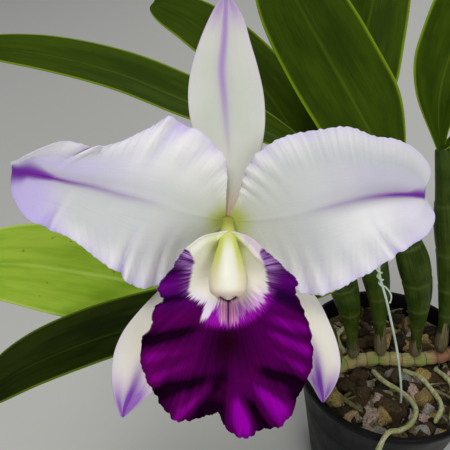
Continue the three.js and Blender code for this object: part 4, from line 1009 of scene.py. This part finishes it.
RIGHT_FOLDS = {
    -1: [
        (0.12, 0.6, 0.012), (0.145, -0.8, 0.01), (0.17, 0.9, 0.012), (0.197, -1, 0.01),
        (0.225, 1, 0.012), (0.253, -0.9, 0.01), (0.285, 0.8, 0.014), (0.32, -0.5, 0.014),
        (0.38, 0.4, 0.02), (0.45, -0.3, 0.022), (0.55, 0.3, 0.025), (0.72, 0.3, 0.035)],
    1: [
        (0.22, 0.5, 0.02), (0.28, -0.6, 0.016), (0.32, 0.7, 0.014), (0.36, -0.7, 0.014),
        (0.4, 0.8, 0.014), (0.435, -0.5, 0.014), (0.48, 0.5, 0.018), (0.53, -0.5, 0.018),
        (0.58, 0.6, 0.018), (0.63, -0.5, 0.016), (0.675, 1.2, 0.013), (0.703, -1.4, 0.011),
        (0.735, 1, 0.015), (0.8, -0.4, 0.03), (0.88, 0.3, 0.03)],
}
# The right petal's skin is the left one's made darker: painted shade, where less light falls on it.
left_skin, right_skin_painted_shade = (
    segment_finish(name, body, shade, NEAR_WHITE, VIOLET, LILAC, (0.46, 0.52, 0.1), (0.74, 0.74, 0.7))
    for name, body, shade in (
        ("left_petal_skin", (0.69, 0.695, 0.7), (0.635, 0.66, 0.66)),
        ("right_petal_skin_painted_shade", (0.64, 0.65, 0.65), (0.58, 0.605, 0.605))))
PETAL_THICKNESS = 0.75
PETAL_U = np.linspace(0, 1, 240)
PETAL_V = np.sin(0.5 * np.pi * np.linspace(-1, 1, 81)) * 0.5 + 0.5 * np.linspace(-1, 1, 81)
U, V = np.meshgrid(PETAL_U, PETAL_V, indexing="ij")
edge = np.abs(V)
inward = np.sin(np.pi * np.minimum(1, 1.15 * U)) ** 0.7
# For each petal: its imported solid, rows, folds and finish; where the midrib's stroke starts; a phase for
# its crinkles; how much of its outer lower half and of the band above the midrib is flushed with lilac;
# and, at shares of its length, how far the violet patch at the tip spreads above and below the midrib.
PETALS = {
    "left_petal": ("petal_left", LEFT_PETAL, LEFT_FOLDS, left_skin, 0.24, 0, 0.9, 0.6, [
        (0.66, 0.03, 0.03), (0.75, 0.12, 0.08), (0.833, 0.34, 0.16), (0.9, 0.42, 0.45), (1, 0.5, 1.1)]),
    "right_petal": ("petal_right", RIGHT_PETAL, RIGHT_FOLDS, right_skin_painted_shade, 0.26, 1.7, 0.22, 0.28, [
        (0.72, 0.03, 0.03), (0.83, 0.1, 0.06), (0.89, 0.23, 0.11), (0.95, 0.4, 0.18), (1, 0.8, 0.4)]),
}
for name, (node, rows, folds, skin, rib_from, phase, flushed, banded, patch) in PETALS.items():
    face = segment_surface(rows, PETAL_U, PETAL_V)
    fold = 0 * U
    for side, margin_folds in folds.items():
        slant = (0.07 if side < 0 else -0.13) * (1 - edge)
        for place, height, width in margin_folds:
            fold += height * bell(U - place - slant, width) * (side * V > 0) * edge**2.4
    gather = np.sin(2 * np.pi * 34 * U + 4 * np.sin(7 * U + phase))
    gather += 0.7 * np.sin(2 * np.pi * 57 * U + 5 * V)
    gather += 0.6 * np.sin(2 * np.pi * 83 * U + 6 * np.sin(5 * U + 2 * phase) - 3 * edge)
    gather *= 0.07 * eased(0.35, 0.95, edge) * inward
    gather *= (1 - 0.55 * eased(0.5, 0.9, U)) * np.where(V < 0, 1, 0.6)
    face[..., 2] += fold + gather + 0.3 * bell(V, 0.05) * inward
    outward = unit(np.gradient(face, axis=1))
    crinkle = 0.14 * np.sin(2 * np.pi * 31 * U + phase + 3 * np.sin(11 * U))
    crinkle += 0.1 * np.sin(2 * np.pi * 53 * U)
    face += outward * (np.sign(V) * edge**10 * inward * (crinkle + 0.22 * fold - 0.1))[..., None]
    fullness = 0.3 + 0.7 * np.sqrt(1 - 0.99 * edge**4)
    thickness = PETAL_THICKNESS * fullness * np.sqrt(np.clip((1 - U) / 0.03, 0.2, 1))
    piece = blade_skin(name, to_plant(face), PETAL_V, thickness, BLOOM_OUT)
    core = bell(V, 0.02 + 0.035 * U) * (0.35 * eased(rib_from, 0.5, U) + 0.65 * eased(0.5, 0.9, U))
    halo = 0.34 * bell(V + 0.05, 0.16) * eased(rib_from, 0.85, U)
    patch_at, above, below = np.array(patch).T
    spread = np.where(V < 0, np.interp(U, patch_at, above), np.interp(U, patch_at, below))
    tip_patch = np.exp(-np.abs(V / spread) ** 3) * eased(patch_at[0], patch_at[1], U)
    lower_flush = flushed * eased(0.64, 0.8, U) * eased(0.02, 0.16, V)
    band_above = banded * bell(V + 0.36, 0.26) * eased(rib_from + 0.1, 0.7, U)
    # Lilac flush: a real lilac margin, and painted shade in the hollows of the folds.
    margin_and_painted_valley_shade = 0.45 * edge**10 * eased(0.1, 0.25, U) + np.clip(-fold, 0, 1.2) * 0.42
    # Painted light: patches painted paler where the light falls, on the left petal at the root and tip of
    # its upper half, on the right one in the middle of its lower half.
    if node == "petal_left":
        painted_light_patch = 0.5 * eased(0.1, 0.3, U) * eased(0.7, 0.4, U) * eased(0.1, 0.5, -V)
        painted_light_patch = painted_light_patch + 0.6 * eased(0.75, 0.85, U) * eased(0.45, 0.7, -V)
    else:
        painted_light_patch = 0.8 * eased(0.35, 0.6, U) * eased(1, 0.8, U) * eased(0.02, 0.2, V) * eased(0.9, 0.4, V)
    # Pale: a paler margin, and painted highlights on the crests of the folds and crinkles and on the painted
    # light patches.
    pale = np.clip(0.55 * eased(0.55, 0.95, edge) + 0.5 * fold + 1.8 * gather + painted_light_patch, 0, 1)
    give_faces(
        piece, 1,
        stripe=np.clip(np.maximum(core + halo, tip_patch), 0, 1),
        flush=np.clip(np.maximum(lower_flush, band_above) + margin_and_painted_valley_shade, 0, 1),
        base=0.9 * (1 - eased(0.02, 0.16, U + 0.04 * edge)) + 0.2 * (1 - eased(0.1, 0.42, U)),
        pale=pale * (1 - 0.6 * lower_flush))
    seat(piece, skin, "petal", node)

# ---- Lip ----
# The third petal: one piece, folded up round the column as a white funnel and opening into a broad
# velvety purple lobe with deep radial ruffles and a finely toothed margin.

LIP_THROAT = np.array([0, -14, -1.6])
LIP_EDGE = [
    (-1.2, -1.9, -0.8), (-2.6, -3.6, 2.2), (-2.4, -4, 5), (-0.1, -2.7, 7.2), (-4.6, -3.4, 7.8),
    (-7.8, -4.4, 9.8), (-10.2, -6.1, 11.8), (-12.1, -7.7, 13.5), (-14, -10.2, 14), (-15.6, -13, 14.5),
    (-17.9, -15.5, 14), (-19.5, -18.5, 14), (-18.2, -22.2, 13), (-20.4, -23.6, 13.5), (-21.5, -29.6, 13.5),
    (-24.2, -32.6, 12.5), (-24.1, -40.1, 12), (-21.7, -45.9, 12), (-19, -51.7, 11), (-14.7, -55.8, 9.5),
    (-10.2, -56.7, 8), (-6, -56.3, 6.5), (-2.9, -55.8, 5.5), (-0.6, -60, 4.3), (4.3, -62, 4.6),
    (8.6, -60.6, 6.2), (13.9, -58.2, 8.5), (17.7, -53.7, 10), (21.1, -47, 11), (23.4, -40.2, 11.5),
    (23.2, -32.2, 12.5), (21, -24.5, 13.5), (18.7, -19.1, 13), (19.1, -16.3, 14.5), (16.3, -13.5, 14.5),
    (13.2, -10.3, 14), (9.9, -7.6, 13), (7.2, -5, 10.8), (4.6, -3.7, 8.6), (0.8, -2.8, 7.4), (2.4, -4, 5),
    (2.6, -3.6, 2.2), (1.2, -1.9, -0.8),
]
LIP_THICKNESS = 0.8
LIP_SWELL = 4  # how far the lobe bulges forward of a plain cone, in mm
# Over the root of the column the two sides fold to the middle. There the funnel bulges round the
# column by these widths in mm, one for each place of the edge from the first, on both sides.
LIP_WRAP = [0, 0.3, 1.2, 3.4, 1.2, 0.5, 0]
# Where each ruffle stands round the margin, as a share of the way, and its height there in mm.
RUFFLES = np.array([
    (0, 0), (0.1, 0), (0.13, 0.3), (0.155, -0.3), (0.18, 0.5), (0.21, -0.5), (0.235, 0.3), (0.259, 0.9),
    (0.288, -0.9), (0.308, 0.8), (0.328, 0.2), (0.347, -1.1), (0.362, 0.5), (0.383, 1.4), (0.398, 0.8),
    (0.414, -1.8), (0.428, -0.7), (0.442, 1.8), (0.458, -0.6), (0.488, -1.7), (0.52, -0.8), (0.543, 1.3),
    (0.557, 2.1), (0.568, 1.5), (0.584, -2), (0.597, 0.4), (0.612, 2.1), (0.626, 1.6), (0.646, -1.9),
    (0.66, 1.2), (0.672, 0.5), (0.684, 1.2), (0.694, -0.5), (0.706, 1), (0.722, 0.1), (0.737, -0.6),
    (0.764, 0.9), (0.79, -0.4), (0.815, 0.5), (0.84, -0.3), (0.87, 0.2), (0.9, 0), (1, 0)])
# The broad ridges and, with a negative height, hollows of the lobe: x and y where each starts and ends,
# its half width at both ends and its height, all in mm.
RIDGES = [
    (5.5, -44.5, 16.5, -55.5, 1.3, 2.9, 1.9), (0.8, -48.5, 4.6, -61, 1.3, 2.7, 1.6),
    (3.6, -48.5, 11.5, -60, 1, 1.5, -2), (-5, -46.5, -15.5, -56.5, 0.9, 1.3, 1.5),
    (-1, -41, -4, -56, 1.6, 3.2, -1.6), (-6, -51, -9, -57, 1.2, 1.6, -1),
    (-3, -44, -21.5, -48.5, 1.5, 2.1, -1.8), (-8, -39, -23, -44.5, 1.2, 1.8, 1),
    (-8, -36, -24.5, -38, 1, 1.9, 0.9), (-7, -30, -23.5, -33.6, 1.2, 1.9, -1.8),
    (-9, -26.5, -21, -28, 1.2, 2.2, 0.5), (-10.5, -21, -19, -22.2, 0.9, 1.3, -1.3),
    (-11, -13, -17.5, -14, 0.6, 0.9, -0.8), (-11.5, -17, -19.5, -18.6, 0.8, 1, 0.7),
    (8, -26, 22.5, -30.5, 1.4, 2.2, 1), (8, -30, 23.5, -36.5, 1.2, 2.1, 1.1),
    (8, -34, 23.5, -42.5, 1, 1.6, 0.8), (7, -28.4, 23, -33.6, 0.5, 0.9, -0.6),
    (6, -41, 22.5, -46.5, 1.3, 2.2, -2), (11, -46, 20, -50.5, 1, 1.6, -0.9),
    (11.5, -19.5, 19, -23, 1.4, 2.2, -1.5), (1.5, -36, 3, -48, 1.2, 2, 0.5),
]
LIP_S = np.concatenate([np.linspace(0.02, 0.9, 52), np.linspace(0.915, 1, 10)])
LIP_T = np.linspace(0, 1, 790, endpoint=False)


def ridged(x, y, ridges):
    """Height at each place: every ridge adds a bell across its line and fades in from its start."""
    height = 0 * x
    for x0, y0, x1, y1, start_width, end_width, top in ridges:
        run = np.hypot(x1 - x0, y1 - y0)
        along = ((x - x0) * (x1 - x0) + (y - y0) * (y1 - y0)) / run**2
        aside = ((x - x0) * (y1 - y0) - (y - y0) * (x1 - x0)) / run
        width = start_width + (end_width - start_width) * np.clip(along, 0, 1.2)
        height += top * bell(aside, width) * eased(-0.1, 0.5, along)
    return height


rim_at = smooth_path(LIP_EDGE, closed=True)
S, T = np.meshgrid(LIP_S, LIP_T, indexing="ij")
rim_line = rim_at(LIP_T)
calm_line = np.mean([rim_at(LIP_T + shift) for shift in (-0.04, -0.02, 0, 0.02, 0.04)], axis=0)
root = np.clip((-rim_line[:, 1] - 4.5) / 7, 0, 1)
hold = np.maximum(S**3, 1 - root)[..., None]
rim = calm_line * (1 - hold) + rim_line * hold
lip_face = LIP_THROAT * (1 - S[..., None]) + rim * S[..., None]
below = eased(12, 44, -rim[..., 1])
after = np.clip(np.searchsorted(RUFFLES[:, 0], LIP_T, side="right"), 1, len(RUFFLES) - 1)
part = (LIP_T - RUFFLES[after - 1, 0]) / (RUFFLES[after, 0] - RUFFLES[after - 1, 0])
rise = RUFFLES[after, 1] - RUFFLES[after - 1, 1]
ruffle = RUFFLES[after - 1, 1] + rise * 0.5 * (1 - np.cos(np.pi * part))
crimp = np.sin(2 * np.pi * 43 * LIP_T + 2.2 * np.sin(2 * np.pi * 5 * LIP_T))
rib = np.sin(2 * np.pi * 150 * LIP_T + 1.5 * np.sin(2 * np.pi * 11 * LIP_T))
lip_face[..., 2] = LIP_THROAT[2] + (rim[..., 2] - LIP_THROAT[2]) * S**1.35
lip_face[..., 2] += LIP_SWELL * below * np.sin(np.pi * S)
margin_back = eased(-12, -6, rim[..., 1]) * eased(5, 7, rim[..., 2])
right_margin = eased(-13, -9.5, rim[..., 1]) * eased(2, 5, rim[..., 0])
lip_face[..., 2] -= 1.6 * eased(0.78, 0.98, S) * margin_back * (1 - right_margin)
lip_face[..., 2] += right_margin * (0.6 * bell(S - 0.76, 0.06) - 2.4 * np.clip((S - 0.76) / 0.24, 0, 1))
edge_place, places = LIP_T * len(LIP_EDGE), range(len(LIP_WRAP))
wrap = np.interp(len(LIP_EDGE) - 1 - edge_place, places, LIP_WRAP) - np.interp(edge_place, places, LIP_WRAP)
lip_face[..., 0] += wrap * np.sin(np.pi * S**1.6)
lip_x, lip_y = lip_face[..., 0].copy(), lip_face[..., 1].copy()
ridge = ridged(lip_x, lip_y, RIDGES)
lip_face[..., 2] += root * (0.75 * ridge * S + 0.6 * S**4 * ruffle + 0.3 * S**8 * crimp + 0.02 * S**2 * rib)
tooth = np.abs(np.sin(np.pi * 67 * LIP_T + 2.1 * np.sin(2 * np.pi * 7 * LIP_T)))
nick = 0.5 * np.sin(2 * np.pi * 131 * LIP_T) + 0.5 * np.sin(2 * np.pi * 193 * LIP_T + 1)
outward = unit(lip_face[-1] - lip_face[-2])
lip_face += (root * S**14 * (0.55 * tooth + 0.15 * nick - 0.55))[..., None] * outward
round_t = np.roll(lip_face, -1, axis=1) - np.roll(lip_face, 1, axis=1)
normal = unit(np.cross(np.gradient(lip_face, axis=0), round_t))
half = normal * (0.5 * LIP_THICKNESS * (0.35 + 0.65 * np.sqrt(1 - 0.98 * S**6)))[..., None]
lip = closed_skin("ruffled_lip", to_plant(np.concatenate([lip_face + half, (lip_face - half)[::-1]], axis=0)))

# The white throat is clean at its sides and ends below in a feathered edge: its reach from a centre
# depends on the bearing, less a fringe of long and short strokes. Straight below the column it turns
# pink with dark veins, and a ring of bright violet lies round its lower edge. Each row of these tables
# is a bearing in degrees and, there, a distance in mm or a share.
THROAT_DROP = 15.1  # how far the throat's centre lies below the bloom's, in mm
THROAT_REACH = [
    (0, 11.2), (20, 10.8), (30, 10.6), (38, 11.6), (43, 16), (50, 40), (143, 40), (148, 13), (153, 11.4),
    (158, 10.6), (176, 10.6), (190, 11.3), (203, 12.5), (212, 12.7), (221, 11.7), (232, 11.4), (238, 14.6),
    (241.5, 15.6), (245, 13.4), (249, 11), (252, 11), (257, 13.2), (263, 14.4), (270, 14.8), (279, 14.6),
    (287, 13.2), (297, 12.2), (310, 12.8), (323, 12.9), (335, 12.4), (345, 11.9), (360, 11.2)]
FEATHERING = [(0, 0.3), (20, 0.15), (195, 0.2), (208, 0.9), (245, 1), (320, 1.1), (345, 0.8), (360, 0.3)]
PINKNESS = [(0, 0), (247, 0), (256, 0.9), (263, 1), (279, 1), (290, 0.5), (310, 0.2), (340, 0), (360, 0)]
VIOLETNESS = [
    (0, 0), (244, 0), (250, 1), (255, 0.8), (261, 0.15), (280, 0.15), (287, 0.8), (296, 0.65), (310, 0.5),
    (330, 0.3), (348, 0), (360, 0)]
RING = [(0, 0), (232, 0), (246, 0.8), (252, 1), (300, 1), (325, 0.75), (350, 0.1), (360, 0)]
RING_END = [(0, 13), (232, 13.5), (242, 16.2), (262, 15.8), (285, 15.6), (300, 15.2), (325, 14.8), (360, 13)]
above_throat = lip_y + THROAT_DROP
far = np.hypot(lip_x, above_throat)
bearing = np.degrees(np.arctan2(above_throat, lip_x)) % 360
reach, feathering, pinkness, violetness, ring_share, ring_end = (
    np.interp(bearing, *np.array(table).T)
    for table in (THROAT_REACH, FEATHERING, PINKNESS, VIOLETNESS, RING, RING_END))
stroke = np.sin(2 * np.pi * 83 * T + 3 * np.sin(2 * np.pi * 13 * T)) + 0.7 * np.sin(2 * np.pi * 137 * T)
comb = np.sin(2 * np.pi * 43 * T + 2.4 * np.sin(2 * np.pi * 9 * T))
soft = 0.4 + 0.3 * feathering
white = eased(-soft, soft, reach + feathering * (0.34 * stroke + 0.45 * comb) - far)
frost = eased(-18, -23, lip_y) * eased(8, 11, far)
lilac = pinkness * eased(7, 9.5, far + 0.3 * stroke)
violet = violetness * eased(8.4, 11.4, far + 0.5 * stroke + 1.5 * comb)
ring = ring_share * (1 - eased(-1.4, 0.8, far - ring_end + 0.3 * stroke))
slit = bell(lip_x, 0.3 + 0.015 * far) * eased(-19, -22, lip_y) * (1 - eased(-30, -34, lip_y))
side_vein = sum(bell(np.abs(lip_x) - place, 0.18) for place in (0.85, 1.6, 2.4))
# Painted shadow: below the column's tip the throat is darkened through the vein coat, where the column shades
# it.
column_shadow_edge = 23.9 - 0.45 * np.abs(lip_x)
painted_column_shadow = (1 - eased(2.8, 3.9, np.abs(lip_x))) * (1 - eased(-0.5, 0.5, -lip_y - column_shadow_edge))
vein = slit + 0.45 * side_vein * eased(-21, -24, lip_y) * eased(0.1, 0.6, white)
# Painted light and shade on the lobe: ridges and ruffle crests are painted brighter violet and hollows
# darker; the calm middle gets less of it, the lit side on the right more, and the very margin is darker.
calm = bell(lip_x, 9) * bell(lip_y + 37, 10)
lit_side = bell(lip_x - 15, 7) * bell(lip_y + 30, 8)
crest = 0.43 - 0.17 * calm + 0.08 * lit_side + 0.29 * ridge * eased(0.3, 0.5, S)
crest += 0.1 * ruffle * eased(0.75, 0.95, S)
skirt = 0.6 * bell(far - reach, 2) * eased(-22, -17, lip_y)
for haze_x, haze_y, haze_width in ((-11.6, -9.3, 2.6), (11.8, -12, 2.6), (-10.6, -13.5, 1.8)):
    skirt = np.maximum(skirt, bell(np.hypot(lip_x - haze_x, lip_y - haze_y), haze_width))
give_faces(
    lip, 0, white=white, frost=frost, lilac=lilac, violet=violet, ring=ring, skirt=skirt,
    vein=np.clip(vein + 0.95 * painted_column_shadow * eased(-17, -20, lip_y), 0, 1),
    green=bell(np.abs(lip_x) - 3.4, 2.4) * bell(lip_y + 7, 4.2),
    rolled=right_margin * eased(0.76, 0.79, S),
    crest=np.clip(crest, 0, 1) * (1 - 0.25 * eased(0.93, 1, S)),
    deep=bell(lip_x + 0.3, 5.2) * bell(lip_y + 35, 6),
    lobe=eased(-27, -20, lip_y),
    warm=eased(3, -7, lip_x))
front = np.full(S.shape, float(normal[..., 2].mean() > 0))
give(lip, front=np.concatenate([front, 1 - front]))
velvet = Finish("velvety_lip", {"Roughness": 0.6, "Specular IOR Level": 0.05, "IOR": 1.15}, (0.15, 2, 0.6, 2))
fan, bloom_cloud = velvet.streaks(1.2, 170, 1.3, 4, 0.6), velvet.clouds(130, 4)
# The share of painted light on the ridges, stirred by a fine fan of streaks.
crest_share = velvet.plus("crest", velvet.band(fan, 0.28, 0.72, -0.07, 0.07))
lobe_violet = velvet.coats((0.03, 0.001, 0.06), ((0.18, 0.004, 0.3), crest_share, 0.1, 0.7))
purple = velvet.coats(
    (0.01, 0.0002, 0.01),
    ((0.084, 0.0003, 0.082), crest_share, 0.05, 0.5),
    ((0.32, 0.0005, 0.4), crest_share, 0.54, 1.02),
    ((0.15, 0.001, 0.1), bloom_cloud, 0.5, 0.85, 0, 0.45),
    ((0.21, 0.002, 0.15), velvet.times("warm", velvet.band(crest_share, 0.3, 0.8, 0, 0.36))),
    (lobe_violet, velvet.times("lobe", 0.75)),
    ((0.6, 0.36, 0.8), velvet.times("skirt", velvet.band(fan, 0.42, 0.6, 0.05, 1))),
    ((0.016, 0.0005, 0.007), "deep"),
    ((0.42, 0.008, 0.52), velvet.times("ring", 0.85)))
pink = velvet.coats((0.78, 0.28, 0.6), ((0.94, 0.54, 0.76), fan, 0.3, 0.7))
cream = velvet.coats(
    (0.94, 0.92, 0.84),
    ((0.9, 0.89, 0.76), bloom_cloud, 0.3, 0.7),
    ((0.86, 0.78, 0.92), "frost"),
    ((0.66, 0.7, 0.26), "green"),
    (pink, "lilac"),
    ((0.46, 0.03, 0.6), "violet"),
    ((0.8, 0.68, 0.78), "rolled"),
    # dark veins, and the painted shadow below the column's tip
    ((0.09, 0.004, 0.08), "vein"))
lip_colour = velvet.backed(velvet.blend("white", purple, cream), 0.45, (0.55, 0.42, 0.62))
seat(lip, velvet.finish(lip_colour, fan, 0.07), "lip", "lip")

# ---- Column ----
# The fused stamen and style: a waxy club, flat beneath, that stands on the ovary and nods over the
# throat, with a toothed hood at its tip that holds the anther cap.

COLUMN_PROFILE = [
    (0, 1.9), (0.18, 1.9), (0.3, 2), (0.4, 2.4), (0.48, 2.9), (0.575, 3.8), (0.715, 5.05), (0.82, 5.75),
    (0.89, 5.55), (0.955, 5.1), (1, 4.6)]
COLUMN_LINE = [
    (0, 0.5, 0.3 - OVARY_TOP), (0, 0.5, -3), (0, 0, 0), (0, -2.2, 2.8), (0, -6, 5.2), (0, -12, 7.8),
    (0, -21.6, 10.6)]
COLUMN_FLATNESS = 0.72
share, bearing = rings(130, 72)
profile = smooth_path(COLUMN_PROFILE)(np.linspace(0, 1, 300))
towards_front = np.clip(-np.sin(bearing), 0, 1)
keel = 0.1 * towards_front**6 * eased(0.4, 0.7, share)
end = np.sqrt(np.clip(1 - (np.clip(share - 0.93, 0, 1) / 0.072) ** 2, 0.03, 1))
end *= np.sqrt(np.clip((share + 0.002) / 0.01, 0.2, 1))
radii = np.interp(share, profile[:, 0], profile[:, 1]) * (0.97 + keel) * end
column_skin = carried(COLUMN_LINE, radii, (1, 0, 0), COLUMN_FLATNESS)
notch = bell(np.abs(column_skin[..., 0]) - 1.9, 0.5) * eased(-20.7, -21.3, column_skin[..., 1])
column_skin[..., 1] += notch
column = closed_skin("flower_column", to_plant(column_skin))
give(column, rise=share + 0 * bearing, facing=towards_front + 0 * share, notch=notch)
waxy = Finish("waxy_column", {"Roughness": 0.42, "Specular IOR Level": 0.4}, (0.3, 3, 3, 1.5))
flank = waxy.coats((0.64, 0.7, 0.14), ((0.97, 0.88, 0.62), "rise", 0.56, 0.92))
# Painted light and shade: the front of the column, which faces the light, is given the paler colour and turns
# cream sooner along it; the flanks keep more of the green.
painted_highlight_colour = waxy.coats((0.68, 0.72, 0.2), ((0.97, 0.95, 0.82), "rise", 0.38, 0.62))
wax = waxy.coats(
    flank,
    (painted_highlight_colour, "facing", 0.78, 1.02),
    ((0.8, 0.62, 0.52), "rise", 0.9, 0.98, 0, 0.6),
    # Painted shade: the notches beside the anther cap are painted dark purple, as the shaded gaps into the
    # throat.
    ((0.12, 0.02, 0.06), waxy.times("notch", 0.95)),
    ((0.34, 0.36, 0.035), "rise", 0.24, 0.42, 1, 0),
    ((0.3, 0.19, 0.06), "rise", 0.12, 0.22, 1, 0))
seat(column, waxy.finish(wax, waxy.clouds(300, 3), 0.05), "column", "column")

# ---- Anther cap ----
# The small cream dome that covers the pollen, with a groove down it. It is of the same waxy tissue as
# the column and sits in the hood at its tip, on a narrow hinge.

CAP_RADIUS = 2.2
CAP_CENTRE = np.array([0, -19.9, 10.6])
polar = np.linspace(0.03, np.pi - 0.03, 40)[:, None]
bearing = np.linspace(0, 2 * np.pi, 48, endpoint=False)[None]
groove = 1 - 0.1 * bell(np.sin(polar) * np.cos(bearing), 0.13)
cap_face = CAP_RADIUS * groove[..., None] * np.stack([
    0.62 * np.sin(polar) * np.cos(bearing),
    0.95 * np.sin(polar) * np.sin(bearing),
    0.7 * np.cos(polar) + 0 * bearing], -1)
cap = closed_skin("anther_dome", to_plant(CAP_CENTRE + cap_face))
cap_cream = Finish("cream_anther", {"Roughness": 0.4}, (0.3, 2, 2, 1))
pollen = cap_cream.clouds(900, 4)
cap_colour = cap_cream.blend(pollen, (0.7, 0.66, 0.48), (0.88, 0.86, 0.76))
seat(cap, cap_cream.finish(cap_colour, pollen, 0.06), "column", "anther_cap")
